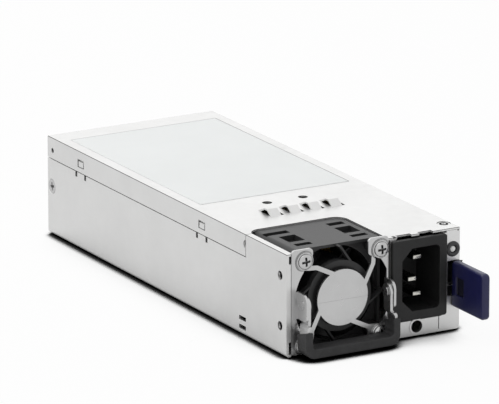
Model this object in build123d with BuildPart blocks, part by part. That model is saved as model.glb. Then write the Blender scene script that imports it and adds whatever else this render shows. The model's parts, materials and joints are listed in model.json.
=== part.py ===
from build123d import *
import math
import os

# Hot-swap power supply in millimetres. X runs across the front, Y from the front face to the rear,
# Z up. The origin is on the underside of the case, at the middle of its footprint.

# Fan and inlet set the width and height of the front
fan_side = 38.0
fan_length = 36.0
fan_above_floor = 0.5
left_margin = 4.5
fan_to_inlet = 1.25
bezel_width = 23.3
bezel_height = 31.0
bezel_drop = 1.3
bezel_proud = 2.0
latch_flange = 6.45

# Case
case_length = 185.0
tray_sheet = 1.0
cover_sheet = 0.8
lip_depth = 8.4
seam_gap = 0.3
bend_radius = 1.2
top_bend_radius = 0.5
side_fit = 0.1

# Clearances
touch_gap = 0.3
running_gap = 0.05
side_play = 0.15

case_width = left_margin + fan_side + fan_to_inlet + bezel_width + latch_flange
case_height = fan_side + 2 * fan_above_floor
bezel_bottom = case_height - bezel_drop - bezel_height

left = -case_width / 2
right = case_width / 2
front = -case_length / 2
rear = case_length / 2
top = case_height
inner_left = left + tray_sheet
inner_right = right - tray_sheet
cover_under = top - cover_sheet
seam_z = top - lip_depth

fan_x = left + left_margin + fan_side / 2
fan_z = fan_above_floor + fan_side / 2
bezel_left = fan_x + fan_side / 2 + fan_to_inlet
bezel_right = bezel_left + bezel_width

# Stamped fan guard
guard_sheet = 0.8
guard_proud = 0.2
guard_front = front - guard_proud
guard_back = guard_front + guard_sheet
guard_hole_radius = fan_side / 2 + 1.3
guard_disc_radius = 10.65
guard_tab_width = 9.0
guard_tab_height = 6.6
guard_tab_rise = 1.15
guard_tab_corner = 1.5
guard_edge_strip = 0.7
spoke_width = 1.7
screw_to_edge = 3.0

# Handle
pivot_forward = 3.2
pivot_z = fan_z + 0.5
lug_half_span = fan_side / 2 - 0.1
lug_sheet = 0.9
lug_forward = 6.6
lug_above_pivot = 4.4
lug_below_pivot = 5.8
arm_sheet = 1.1
arm_head_radius = 3.1
arm_pin_radius = 1.0
grip_half_span = fan_side / 2 + 0.9
grip_post_thick = 2.9
grip_bar_thick = 3.7
grip_bottom = 0.6
grip_post_top = 10.9
grip_post_slope = 2.2
grip_forward = 8.6
grip_setback = 1.25
grip_bottom_setback = 2.9
grip_corner = 4.0

# Release latch
tab_thick = 3.4
tab_height = 17.5
tab_from_top = 12.65
tab_forward = 21.8
tab_face_gap = 0.4
tab_corner = 1.8
tab_nose = 1.1
lever_sheet = 0.6
lever_wall_gap = 0.4
lever_height = 9.6
latch_axis_depth = 46.0
latch_pin_radius = 1.0
tooth_proud = 1.3
tooth_depth = 9.0
tooth_length = 4.0
tooth_height = 6.0
stop_reach = 2.4
stop_drop = 3.2

# Status light
light_ring_radius = 2.95
light_lens_radius = 1.3
light_from_side = 3.0
light_z = top - 8.1

# Main board
board_thick = 1.6
board_above_floor = 4.2
board_behind_fan = 2.4
board_side_gap = 1.2
board_rear_gap = 1.0
tongue_half_width = 26.0
tongue_length = 9.5

os.makedirs("parts", exist_ok=True)


def save(builder, label):
    # one named piece, one file
    builder.part.label = label
    export_step(builder.part, "parts/" + label + ".step")


def block(x0, x1, y0, y1, z0, z1, mode=Mode.ADD):
    # a block between two corners
    with Locations(((x0 + x1) / 2, (y0 + y1) / 2, (z0 + z1) / 2)):
        Box(x1 - x0, y1 - y0, z1 - z0, mode=mode)


def rod(start, direction, length, radius, mode=Mode.ADD):
    # a round bar from a start point along a direction
    with Locations(Plane(origin=start, z_dir=direction)):
        Cylinder(radius, length, align=(Align.CENTER, Align.CENTER, Align.MIN), mode=mode)


def taper(start, direction, length, radius0, radius1, mode=Mode.ADD):
    # a cone frustum from a start point along a direction
    with Locations(Plane(origin=start, z_dir=direction)):
        Cone(radius0, radius1, length, align=(Align.CENTER, Align.CENTER, Align.MIN), mode=mode)


def facing(y):
    # a plane across the case, seen from the front: its own axes are X and Z
    return Plane.XZ.offset(-y)


along_x = (1, 0, 0)
along_y = (0, 1, 0)
along_z = (0, 0, 1)
sides = (-1, 1)

# Openings of the case around the fan and the inlet
fan_gap = 0.35
fan_tuck = 2.6
fan_front = guard_back
fan_rear = fan_front + fan_length
cutout_left = fan_x - fan_side / 2 - 1.9
cutout_right = fan_x + fan_side / 2 + fan_gap
cutout_rear = fan_rear - fan_tuck
cutout_corner = 5.0
opening_fit = 0.15
lip_start = front + 30.0
notch_flap = 4.0
notch_radius = 1.6
notch_height = 4.6
return_flange = 1.85
return_bottom = 5.6
return_top = top - 3.9
lower_strip_height = bezel_bottom - 0.8
strip_left = bezel_left - 0.1
strip_right = right - 8.8
post_width = 2.6

# Inlet body and its hole in the front wall
inlet_wall = 1.5
socket_width = 16.0
socket_height = 24.0
socket_depth = 17.0
socket_chamfer = 4.4
socket_x = bezel_left + 12.05
socket_z = bezel_bottom + bezel_height / 2
inlet_back = 1.6
body_left = socket_x - socket_width / 2 - inlet_wall
body_right = socket_x + socket_width / 2 + inlet_wall
body_bottom = socket_z - socket_height / 2 - inlet_wall
body_top = socket_z + socket_height / 2 + inlet_wall
panel_fit = 0.15

# Latch places
lever_outer = inner_right - lever_wall_gap
lever_inner = lever_outer - lever_sheet
tab_left = right - 0.05 - tab_thick
tab_bottom = top - tab_from_top - tab_height
tab_z = tab_bottom + tab_height / 2
latch_z = top / 2 + 0.2
latch_axis_y = front + latch_axis_depth
knuckle_radius = 2.1
latch_axis_x = lever_inner - knuckle_radius + lever_sheet
latch_slot_left = bezel_right + 1.2
stop_left = lever_inner - stop_reach
stop_low = latch_z - stop_drop
latch_slot_half = lever_height / 2 + 2.0
tooth_y = front + tooth_depth
light_x = right - light_from_side

# Side holes, slots and hooks of the case
side_hole_radius = 1.7
side_hole_depth = 4.7
side_hole_low = 11.0
side_hole_spacing = 19.1
vent_depth = 29.7
vent_length = 5.0
vent_height = 1.6
vent_low = 2.1
vent_pitch = 3.4
hook_places = (front + 62.8, rear - 27.1)
hook_width = 5.0
hook_window_low = seam_z + 1.9
hook_window_high = hook_window_low + 3.2
hook_sheet = 0.8
hook_half = 2.85
tooth_half = 1.85
relief_width = 1.5
relief_depth = 2.0
side_screw_inset = 3.2
side_screw_z = top / 2 - 0.2
side_screw_head = 3.0
side_screw_shank = 1.45
rear_sheet = 1.0
rear_flange = 8.0

# Guard plate's sides and the seat of the cover screw
guard_left = left + return_flange + 0.1
guard_right = bezel_left - 0.9
guard_notch = 0.1
corner_relief = 0.35
seat_width = 6.0
seat_front = 1.5
seat_rear = 13.5
dimple_x = right - 2.9
dimple_y = front + 6.7
cover_screw_hole = 1.0
strip_hole_x = socket_x - 0.65
strip_hole_z = 0.585 * lower_strip_height
strip_hole_radius = 0.4 * lower_strip_height
strip_ring_radius = 0.525 * lower_strip_height


def cover_opening(inset, low):
    # outline of the cover's opening over the fan, with its two rounded rear corners
    opening_front = front - 1
    opening_rear = cutout_rear - inset
    with BuildSketch() as outline:
        with Locations(((cutout_left + cutout_right) / 2, (opening_front + opening_rear) / 2)):
            Rectangle(cutout_right - cutout_left - 2 * inset, opening_rear - opening_front)
        fillet([v for v in outline.vertices() if v.Y > front], cutout_corner - inset)
    return outline.sketch.moved(Location((0, 0, low)))


def guard_pocket():
    # room for the guard plate in the front edges of the sheets
    block(
        guard_left - guard_notch, guard_right + guard_notch, front - 1, guard_back + guard_notch,
        -1, top + 2, mode=Mode.SUBTRACT,
    )


with BuildPart() as chassis_tray:
    block(left, right, front, rear, 0, tray_sheet)
    block(cutout_left, cutout_right, front - 1, cutout_rear, -1, tray_sheet + 1, mode=Mode.SUBTRACT)
    block(left, inner_left, front, rear, 0, seam_z - seam_gap)
    block(inner_right, right, front, rear, 0, seam_z - seam_gap)
    # full-height walls beside the fan and beside the latch
    block(left, inner_left, front, lip_start - seam_gap, 0, top)
    block(left, cutout_left, front, lip_start - seam_gap, cover_under, top)
    block(inner_right, right, front, lip_start - seam_gap, 0, cover_under)
    block(
        inner_right - seat_width, right, front + seat_front, front + seat_rear,
        cover_under - tray_sheet, cover_under,
    )
    block(
        left + cover_sheet + side_fit, left + cover_sheet + side_fit + tray_sheet,
        lip_start - notch_flap, lip_start + notch_flap, seam_z + 1, cover_under - 1,
    )
    guard_pocket()
    # front: narrow return at the left, strip and post at the inlet, wide flange at the latch
    block(left, left + return_flange, front, front + tray_sheet, return_bottom, return_top)
    block(strip_left, strip_right - 0.15, front, front + tray_sheet, 0, lower_strip_height)
    block(strip_left, strip_left + post_width, front, front + tray_sheet, 0, cover_under)
    block(strip_right + 0.15, right, front, front + tray_sheet, 0, lower_strip_height)
    block(bezel_right - 1.2, right, front, front + tray_sheet, lower_strip_height - 1, cover_under - side_fit)
    block(
        bezel_right - 2, bezel_right + 0.8, front - 1, front + 2,
        cover_under - 2 * corner_relief, cover_under, mode=Mode.SUBTRACT,
    )
    relief_x = right - 2 * corner_relief
    rod((relief_x, front - 1, cover_under - corner_relief), along_y, 2.5, corner_relief, mode=Mode.SUBTRACT)
    block(
        body_left - panel_fit, body_right + panel_fit, front - 1, front + 2,
        body_bottom - panel_fit, body_top + panel_fit, mode=Mode.SUBTRACT,
    )
    block(
        latch_slot_left, inner_right, front - 1, front + 2,
        latch_z - latch_slot_half, latch_z + latch_slot_half, mode=Mode.SUBTRACT,
    )
    rod((light_x, front - 1, light_z), along_y, 3, light_ring_radius - 0.6, mode=Mode.SUBTRACT)
    # screw hole with its raised ring in the strip under the inlet
    rod((strip_hole_x, front - 0.25, strip_hole_z), along_y, 0.4, strip_ring_radius)
    rod((strip_hole_x, front - 1, strip_hole_z), along_y, 3, strip_hole_radius, mode=Mode.SUBTRACT)
    rod((dimple_x, dimple_y, cover_under - 3), along_z, 4, cover_screw_hole, mode=Mode.SUBTRACT)
    # hooks that stand up behind the cover's lips, each with its tooth in a window
    for side in sides:
        for hook_y in hook_places:
            wall = side * (inner_right + side_fit)
            inner = wall - side * hook_sheet
            block(
                min(wall, inner), max(wall, inner), hook_y - hook_half, hook_y + hook_half,
                seam_z - 3, hook_window_high + 1,
            )
            tooth = side * (right - side_fit)
            block(
                min(wall, tooth), max(wall, tooth), hook_y - tooth_half, hook_y + tooth_half,
                hook_window_low + touch_gap, hook_window_high - 0.8,
            )
            for end in sides:
                relief_y = hook_y + end * (hook_half + relief_width / 2)
                block(
                    side * right - 1, side * right + 1,
                    relief_y - relief_width / 2, relief_y + relief_width / 2,
                    seam_z - relief_depth - seam_gap, seam_z, mode=Mode.SUBTRACT,
                )
    # round holes and slots near the front, the tooth window and the screw seats at the rear
    for hole in range(2):
        hole_z = side_hole_low + hole * side_hole_spacing
        rod((left - 1, front + side_hole_depth, hole_z), along_x, 3, side_hole_radius, mode=Mode.SUBTRACT)
    for slot in range(2):
        slot_z = vent_low + slot * vent_pitch
        block(
            left - 1, inner_left + 1, front + vent_depth, front + vent_depth + vent_length,
            slot_z, slot_z + vent_height, mode=Mode.SUBTRACT,
        )
    block(
        inner_right - 1, right + 1, tooth_y - touch_gap, tooth_y + tooth_length + 2 * touch_gap,
        latch_z - tooth_height / 2 - touch_gap, latch_z + tooth_height / 2 + touch_gap, mode=Mode.SUBTRACT,
    )
    for side in sides:
        taper(
            (side * right, rear - side_screw_inset, side_screw_z), (-side, 0, 0), tray_sheet,
            side_screw_head, side_screw_head - tray_sheet, mode=Mode.SUBTRACT,
        )
    # rounded bends along the bottom and beside the fan
    outer_edges = [
        edge for edge in chassis_tray.edges().filter_by(Axis.Y) if abs(abs(edge.center().X) - right) < 0.01
    ]
    fillet([edge for edge in outer_edges if edge.center().Z < 0.01], bend_radius)
    fillet([edge for edge in outer_edges if edge.center().Z > top - 0.01], top_bend_radius)
save(chassis_tray, "chassis_tray")

# Louvres and holes of the cover
louvre_width = 5.6
louvre_bridge = 4.3
louvre_length = 9.7
louvre_pitch = 8.7
louvre_count = 4
louvre_left = fan_x - 3.75
louvre_front = cutout_rear + 11.4
louvre_rise = 2.0
louvre_front_ramp = 3.2
louvre_rear_ramp = 4.7
louvre_sheet = 0.6
cover_hole_radius = 1.85
cover_hole_front = louvre_front + 16.9
cover_hole_x = (louvre_left + 7.9, louvre_left + 23.3)
edge_slot_depth = 1.6
dimple_depth = 0.3

with BuildPart() as top_cover:
    block(left, right, front, rear, cover_under, top)
    block(left - 1, cutout_right, front - 1, lip_start, cover_under - 1, top + 1, mode=Mode.SUBTRACT)
    extrude(cover_opening(0, cover_under - 1), amount=3, mode=Mode.SUBTRACT)
    guard_pocket()
    for side in sides:
        lip_out = side * right
        lip_in = side * (right - cover_sheet)
        block(min(lip_out, lip_in), max(lip_out, lip_in), lip_start, rear, seam_z, top)
        for hook_y in hook_places:
            block(
                min(lip_out - side * 2, lip_out + side), max(lip_out - side * 2, lip_out + side),
                hook_y - hook_width / 2, hook_y + hook_width / 2,
                hook_window_low, hook_window_high, mode=Mode.SUBTRACT,
            )
        rod((side * right + side, rear - 4.0, seam_z + 3.3), (-side, 0, 0), 3, 1.0, mode=Mode.SUBTRACT)
    # half-round notch in the left lip's front end
    rod(
        (left - 1, lip_start, seam_z + notch_height), along_x, 1 + tray_sheet, notch_radius,
        mode=Mode.SUBTRACT,
    )
    # louvres: a window under a raised bridge, which leaves its left side and a slot at its right open
    louvre_rear = louvre_front + louvre_length
    crest_front = louvre_front + louvre_front_ramp
    crest_rear = louvre_rear - louvre_rear_ramp
    crest = top + louvre_rise
    for place in range(louvre_count):
        x0 = louvre_left + place * louvre_pitch
        block(
            x0, x0 + louvre_width, louvre_front, louvre_rear, cover_under - 1, top + 1, mode=Mode.SUBTRACT,
        )
        with BuildSketch(Plane.YZ.offset(x0)):
            with BuildLine():
                Polyline(
                    (louvre_front, top), (crest_front, crest), (crest_rear, crest), (louvre_rear, top),
                    (louvre_rear, cover_under), (crest_rear, crest - louvre_sheet),
                    (crest_front, crest - louvre_sheet), (louvre_front, cover_under), close=True,
                )
            make_face()
        extrude(amount=louvre_bridge)
    for hole_x in cover_hole_x:
        rod((hole_x, cover_hole_front, cover_under - 1), along_z, 3, cover_hole_radius, mode=Mode.SUBTRACT)
    # slots in the front edge over the inlet
    for slot_start, slot_width in ((1.1, 1.2), (2.9, 6.1), (12.3, 5.8)):
        block(
            bezel_left + slot_start, bezel_left + slot_start + slot_width,
            front - 1, front + edge_slot_depth, cover_under - 1, top + 1, mode=Mode.SUBTRACT,
        )
    # dimple and screw seat at the front right corner
    long_bends = [
        edge for edge in top_cover.edges().filter_by(Axis.Y)
        if abs(abs(edge.center().X) - right) < 0.01 and edge.center().Z > top - 0.01
    ]
    fillet(long_bends, top_bend_radius)
    taper((dimple_x, dimple_y, top), (0, 0, -1), dimple_depth, 2.7, 2.3, mode=Mode.SUBTRACT)
    rod((dimple_x, dimple_y, cover_under - 1), along_z, 3, cover_screw_hole, mode=Mode.SUBTRACT)
save(top_cover, "top_cover")

with BuildPart() as cover_screw:
    rod((dimple_x, dimple_y, top - dimple_depth), along_z, dimple_depth - 0.02, 1.75)
    rod((dimple_x, dimple_y, top - 3.0), along_z, 3.0 - dimple_depth / 2, cover_screw_hole - running_gap)
save(cover_screw, "cover_screw")

# Bare label film on the cover
label_half_width = 32.0
label_front_gap = 38.0
label_rear_gap = 10.4
label_film = 0.12

with BuildPart() as label_film_sheet:
    block(
        -label_half_width, label_half_width, cutout_rear + label_front_gap, rear - label_rear_gap,
        top, top + label_film,
    )
save(label_film_sheet, "label_film")

# Rear wall with its vent and the slot of the edge connector
board_bottom = tray_sheet + board_above_floor
board_top = board_bottom + board_thick
vent_hole_radius = 1.6
vent_hole_pitch = 4.2
vent_columns = 14
vent_rows = 5

with BuildPart() as rear_panel:
    block(
        inner_left + side_fit, inner_right - side_fit, rear - rear_sheet, rear,
        tray_sheet + side_fit, cover_under - side_fit,
    )
    for side in sides:
        flange_out = side * (inner_right - side_fit)
        flange_in = flange_out - side * rear_sheet
        block(
            min(flange_out, flange_in), max(flange_out, flange_in), rear - rear_flange, rear,
            tray_sheet + side_fit, seam_z - 4,
        )
        rod(
            (side * right, rear - side_screw_inset, side_screw_z), (-side, 0, 0), 4,
            side_screw_shank + 0.05, mode=Mode.SUBTRACT,
        )
    block(
        -tongue_half_width - 0.6, tongue_half_width + 0.6, rear - 2, rear + 1,
        board_bottom - 0.6, board_top + 0.6, mode=Mode.SUBTRACT,
    )
    with Locations(Plane(origin=(0, rear, board_top + 3.2 + vent_rows * vent_hole_pitch / 2), z_dir=along_y)):
        with GridLocations(vent_hole_pitch, vent_hole_pitch, vent_columns, vent_rows):
            Cylinder(vent_hole_radius, 4, mode=Mode.SUBTRACT)
save(rear_panel, "rear_panel")

with BuildPart() as side_screws:
    for side in sides:
        seat = (side * right, rear - side_screw_inset, side_screw_z)
        taper(seat, (-side, 0, 0), tray_sheet, side_screw_head - 0.02, side_screw_head - tray_sheet - 0.02)
        rod(seat, (-side, 0, 0), 5.0, side_screw_shank)
save(side_screws, "side_screws")

# Fan guard: corner tabs, spokes, disc, and the lugs that carry the handle
guard_low = fan_z - fan_side / 2 - 0.1
guard_high = top + guard_tab_rise
screw_offset = fan_side / 2 - screw_to_edge
screw_seat = guard_front + 0.35
lug_bottom = pivot_z - lug_below_pivot
lug_top = pivot_z + lug_above_pivot
pivot_y = front - pivot_forward
inner_tab_left = fan_x + screw_offset - 5.2
disc_line_z = fan_z - 0.8
disc_line_width = 0.2
disc_line_depth = 0.12
spoke_points = (
    (0.6 - screw_offset, screw_offset - 2.8),
    (-0.25 - guard_disc_radius, guard_disc_radius + 2.2),
    (-0.3 * guard_disc_radius, 0.85 * guard_disc_radius),
)


def quarter_turned(point, turns):
    # a point of the front, given from the fan's centre and turned by quarter turns
    x, z = point
    for _ in range(turns):
        x, z = -z, x
    return (fan_x + x, fan_z + z)


with BuildPart() as fan_guard:
    with BuildSketch(facing(guard_back)) as plate:
        for x0, x1 in ((guard_left, guard_left + guard_tab_width), (inner_tab_left, guard_right)):
            with Locations(((x0 + x1) / 2, (guard_low + top) / 2)):
                Rectangle(x1 - x0, top - guard_low - 0.6)
        with Locations((fan_x, fan_z)):
            Circle(guard_hole_radius, mode=Mode.SUBTRACT)
        for x0, x1 in ((guard_left, guard_left + guard_tab_width), (inner_tab_left, guard_right)):
            for z0 in (guard_high - guard_tab_height, guard_low):
                with Locations(((x0 + x1) / 2, z0 + guard_tab_height / 2)):
                    RectangleRounded(x1 - x0, guard_tab_height, guard_tab_corner)
        with Locations((guard_right - guard_edge_strip / 2, fan_z)):
            Rectangle(guard_edge_strip, 24)
        with Locations((fan_x, fan_z)):
            Circle(guard_disc_radius)
        for side, edge in ((-1, guard_left), (1, guard_right)):
            lug_inner = fan_x + side * (lug_half_span - lug_sheet)
            with Locations(((edge + lug_inner) / 2, (lug_bottom + lug_top) / 2)):
                Rectangle(abs(edge - lug_inner), lug_top - lug_bottom)
    extrude(amount=guard_sheet)
    with BuildSketch(facing(guard_back)) as spokes:
        for turn in range(4):
            with BuildLine():
                FilletPolyline(*[quarter_turned(point, turn) for point in spoke_points], radius=2.0)
            trace(line_width=spoke_width)
    extrude(amount=guard_sheet)
    block(
        fan_x - guard_disc_radius, fan_x + guard_disc_radius, guard_front - 1, guard_front + disc_line_depth,
        disc_line_z - disc_line_width / 2, disc_line_z + disc_line_width / 2, mode=Mode.SUBTRACT,
    )
    # lugs, bent forward from the plate
    for side in sides:
        outer = fan_x + side * lug_half_span
        inner = outer - side * lug_sheet
        with BuildSketch(Plane.YZ.offset(min(outer, inner))):
            with Locations(((guard_back + front - lug_forward) / 2, (lug_bottom + lug_top) / 2)):
                Rectangle(guard_back - front + lug_forward, lug_top - lug_bottom)
            fillet([v for v in vertices() if v.X < front and v.Y > pivot_z], 3.4)
            fillet([v for v in vertices() if v.X < front and v.Y < lug_bottom + 0.1], 1.5)
        extrude(amount=lug_sheet)
    for sx in sides:
        for sz in sides:
            centre = (fan_x + sx * screw_offset, guard_front - 1, fan_z + sz * screw_offset)
            rod(centre, along_y, 4, 1.7, mode=Mode.SUBTRACT)
            seat = (fan_x + sx * screw_offset, guard_front, fan_z + sz * screw_offset)
            taper(seat, along_y, 0.35, 4.1, 3.6, mode=Mode.SUBTRACT)
    for side in sides:
        outer = fan_x + side * (lug_half_span + 1)
        rod((outer, pivot_y, pivot_z), (-side, 0, 0), 3, arm_pin_radius, mode=Mode.SUBTRACT)
save(fan_guard, "fan_guard")

with BuildPart() as guard_screws:
    for sx in sides:
        for sz in sides:
            seat = (fan_x + sx * screw_offset, screw_seat, fan_z + sz * screw_offset)
            rod(seat, along_y, 8.0, 1.45)
            with BuildPart(mode=Mode.PRIVATE) as head:
                rod(seat, (0, -1, 0), 1.7, 3.5)
                fillet(head.edges().filter_by(GeomType.CIRCLE).sort_by(Axis.Y)[0], 1.1)
                with Locations((seat[0], seat[1] - 1.7, seat[2])):
                    Box(1.1, 1.2, 4.2, mode=Mode.SUBTRACT)
                    Box(3.6, 1.2, 0.9, mode=Mode.SUBTRACT)
            add(head.part)
save(guard_screws, "guard_screws")

# Fan housing: square body, bore, corner pockets, and the fixed motor mount on four ribs
fan_wall = 1.2
fan_bore_radius = fan_side / 2 - fan_wall
mount_radius = 13.4
mount_front = fan_front + 1.6
mount_thick = 2.6
pocket_near = fan_side / 2 - 10.6
pocket_far = fan_side / 2 - 3.9
pocket_depth = 2.2
fan_low = fan_z - fan_side / 2
fan_high = fan_z + fan_side / 2
shaft_radius = 1.5
bearing_radius = 3.0
bearing_length = 2.5
sleeve_radius = 4.2
front_well_wall = 1.1
front_well_depth = 7.0
rim_setback = 4.7
boss_radius = 2.8
pocket_shift = 1.3
rear_pocket_reach = 3.4
rib_root = (0.395 * mount_radius, 0.88 * mount_radius)
rib_tip = (0.6, fan_side / 2 - 0.5)
rib_width = 0.75
rib_depth = 2.4
rib_foot = (rib_tip[0], fan_side / 2 - 0.8)
rib_foot_length = 1.3
stator_front = mount_front + mount_thick
stator_length = 12.0

with BuildPart() as fan_frame:
    block(fan_x - fan_side / 2, fan_x + fan_side / 2, fan_front, fan_rear, fan_low, fan_high)
    long_edges = fan_frame.edges().filter_by(Axis.Y).sort_by(Axis.X)
    fillet(long_edges[:2], 3.0)
    fillet(fan_frame.edges().filter_by(Axis.Y).sort_by(Axis.X)[-2:], 0.4)
    rod((fan_x, fan_front - 1, fan_z), along_y, fan_length + 2, fan_bore_radius, mode=Mode.SUBTRACT)
    # square well behind a set-back rim, with the bosses of the guard's screws left in its corners
    well_half = fan_side / 2 - front_well_wall
    with BuildPart(mode=Mode.PRIVATE) as front_well:
        block(
            fan_x - well_half, fan_x + well_half, fan_front - 1, fan_front + front_well_depth,
            fan_z - well_half, fan_z + well_half,
        )
        block(
            fan_x - fan_side, fan_x + fan_side, fan_front - 1, fan_front + rim_setback,
            fan_z - fan_side, fan_z + fan_side,
        )
        for sx in sides:
            for sz in sides:
                boss = (fan_x + sx * screw_offset, fan_front - 2, fan_z + sz * screw_offset)
                rod(boss, along_y, front_well_depth + 3, boss_radius, mode=Mode.SUBTRACT)
    add(front_well.part, mode=Mode.SUBTRACT)
    # lower step under the cover and over the floor at the rear end
    with BuildPart(mode=Mode.PRIVATE) as under_cover:
        block(
            fan_x - fan_side, fan_x + fan_side, cutout_rear - 2 * cutout_corner, fan_rear + 1,
            cover_under - 0.15, fan_high + 1,
        )
        extrude(cover_opening(opening_fit, cover_under - 1), amount=3, mode=Mode.SUBTRACT)
    add(under_cover.part, mode=Mode.SUBTRACT)
    block(
        fan_x - fan_side, fan_x + fan_side, cutout_rear - 0.3, fan_rear + 1,
        fan_low - 1, tray_sheet + 0.15, mode=Mode.SUBTRACT,
    )
    for start, length, reach in ((8.6, 2.8, 0), (14.2, 7.9, 0), (25.0, 3.3, rear_pocket_reach)):
        for sx in sides:
            for face, depth in ((fan_high, -pocket_depth), (fan_low, pocket_depth)):
                x0 = fan_x + pocket_shift + sx * pocket_near
                x1 = fan_x + pocket_shift + sx * pocket_far - (reach if sx < 0 else 0)
                block(
                    min(x0, x1), max(x0, x1), fan_front + start, fan_front + start + length,
                    min(face - depth / 10, face + depth), max(face - depth / 10, face + depth),
                    mode=Mode.SUBTRACT,
                )
    for sx in sides:
        for sz in sides:
            corner = (fan_x + sx * screw_offset, fan_front - 1, fan_z + sz * screw_offset)
            rod(corner, along_y, 9.6, 1.5, mode=Mode.SUBTRACT)
    # motor mount and its ribs
    rod((fan_x, mount_front, fan_z), along_y, mount_thick, mount_radius)
    rod((fan_x, mount_front + mount_thick, fan_z), along_y, stator_length + 2, sleeve_radius)
    rod((fan_x, mount_front - 0.6, fan_z), along_y, 1.4, mount_radius - 2.2, mode=Mode.SUBTRACT)
    rod((fan_x, mount_front + 1.2, fan_z), along_y, 30, bearing_radius, mode=Mode.SUBTRACT)
    for turn in range(4):
        root_x, root_z = quarter_turned(rib_root, turn)
        tip_x, tip_z = quarter_turned(rib_tip, turn)
        root = Vector(root_x, mount_front + mount_thick / 2, root_z)
        tip = Vector(tip_x, mount_front + mount_thick / 2, tip_z)
        run = tip - root
        with Locations(Plane(origin=(root + tip) / 2, x_dir=run, z_dir=along_y)):
            Box(run.length, rib_width, rib_depth)
        # foot that ties the rib's tip back to the bottom of the well
        foot_x, foot_z = quarter_turned(rib_foot, turn)
        foot_start = mount_front + mount_thick / 2 - rib_depth / 2
        foot_end = fan_front + front_well_depth + touch_gap
        with Locations(Plane(origin=(foot_x, (foot_start + foot_end) / 2, foot_z), x_dir=run, z_dir=along_y)):
            Box(rib_foot_length, rib_width, foot_end - foot_start)
save(fan_frame, "fan_frame")

with BuildPart() as fan_stator:
    rod((fan_x, stator_front + 0.02, fan_z), along_y, stator_length, 6.0)
    for turn in range(6):
        angle = math.radians(60 * turn)
        with Locations(
            Plane(
                origin=(
                    fan_x + 7.2 * math.cos(angle), stator_front + 0.02 + stator_length / 2,
                    fan_z + 7.2 * math.sin(angle),
                ),
                x_dir=(math.cos(angle), 0, math.sin(angle)), z_dir=along_y,
            )
        ):
            Box(4.0, 3.6, stator_length - 3)
    rod(
        (fan_x, stator_front - 1, fan_z), along_y, stator_length + 3, sleeve_radius + running_gap / 2,
        mode=Mode.SUBTRACT,
    )
save(fan_stator, "fan_stator")

sleeve_end = mount_front + mount_thick + stator_length + 2

with BuildPart() as fan_bearings:
    for start in (mount_front + 1.3, sleeve_end - bearing_length):
        rod((fan_x, start, fan_z), along_y, bearing_length, bearing_radius)
    rod((fan_x, mount_front, fan_z), along_y, 40, shaft_radius + running_gap / 2, mode=Mode.SUBTRACT)
save(fan_bearings, "fan_bearings")

# Rotor: hub cup, magnet ring, shaft and twisted blades
hub_radius = 12.6
hub_wall = 1.0
hub_front = stator_front + 0.8
hub_length = 17.5
hub_end = hub_front + hub_length
magnet_thick = 1.4
blade_count = 7
blade_tip = fan_bore_radius - 0.5
blade_length = 13.0
blade_thick = 0.9

with BuildPart() as fan_rotor:
    blade_mid = hub_front + hub_length / 2
    for blade in range(blade_count):
        angle = 360 * blade / blade_count
        with BuildPart(mode=Mode.PRIVATE) as one_blade:
            for radius, pitch in ((hub_radius - 0.6, 46), (blade_tip + 0.6, 58)):
                section = Plane(origin=(radius, 0, 0), x_dir=(0, 1, 0), z_dir=(1, 0, 0))
                with BuildSketch(section.rotated((0, 0, 90 - pitch))):
                    Rectangle(blade_length, blade_thick)
            loft()
        with Locations(Location((fan_x, blade_mid, fan_z), (0, angle, 0))):
            add(one_blade.part)
    rod((fan_x, hub_front - 6, fan_z), along_y, hub_length + 12, blade_tip, mode=Mode.INTERSECT)
    rod((fan_x, hub_front, fan_z), along_y, hub_length, hub_radius)
    rod((fan_x, hub_front - 1, fan_z), along_y, hub_length, hub_radius - hub_wall, mode=Mode.SUBTRACT)
    rod((fan_x, hub_end - 2, fan_z), along_y, 4, shaft_radius, mode=Mode.SUBTRACT)
save(fan_rotor, "fan_rotor")

with BuildPart() as fan_magnet:
    rod((fan_x, hub_front, fan_z), along_y, hub_length - 3, hub_radius - hub_wall)
    rod(
        (fan_x, hub_front - 1, fan_z), along_y, hub_length, hub_radius - hub_wall - magnet_thick,
        mode=Mode.SUBTRACT,
    )
save(fan_magnet, "fan_magnet")

with BuildPart() as fan_shaft:
    rod((fan_x, mount_front + 1.4, fan_z), along_y, hub_end - mount_front - 1.4, shaft_radius)
save(fan_shaft, "fan_shaft")

# Handle: steel bail with two arms, and the plastic grip moulded over its lower part
arm_upper = lug_half_span - lug_sheet - side_play - arm_sheet / 2
arm_lower = grip_half_span - grip_post_thick / 2
bail_low = grip_bottom + grip_bar_thick / 2
joggle_drop = 0.9
joggle_run = 1.6
joggle_bend = 0.6
bail_bend = 2.5
joggle_high = lug_bottom - joggle_drop
joggle_low = joggle_high - joggle_run
arm_front = front - 7.5
arm_back = front - 1.7
arm_low_back = front - 3.6
arm_top = joggle_high - 0.6
stem_front = front - 6.1
stem_back = front - 1.3

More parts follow.
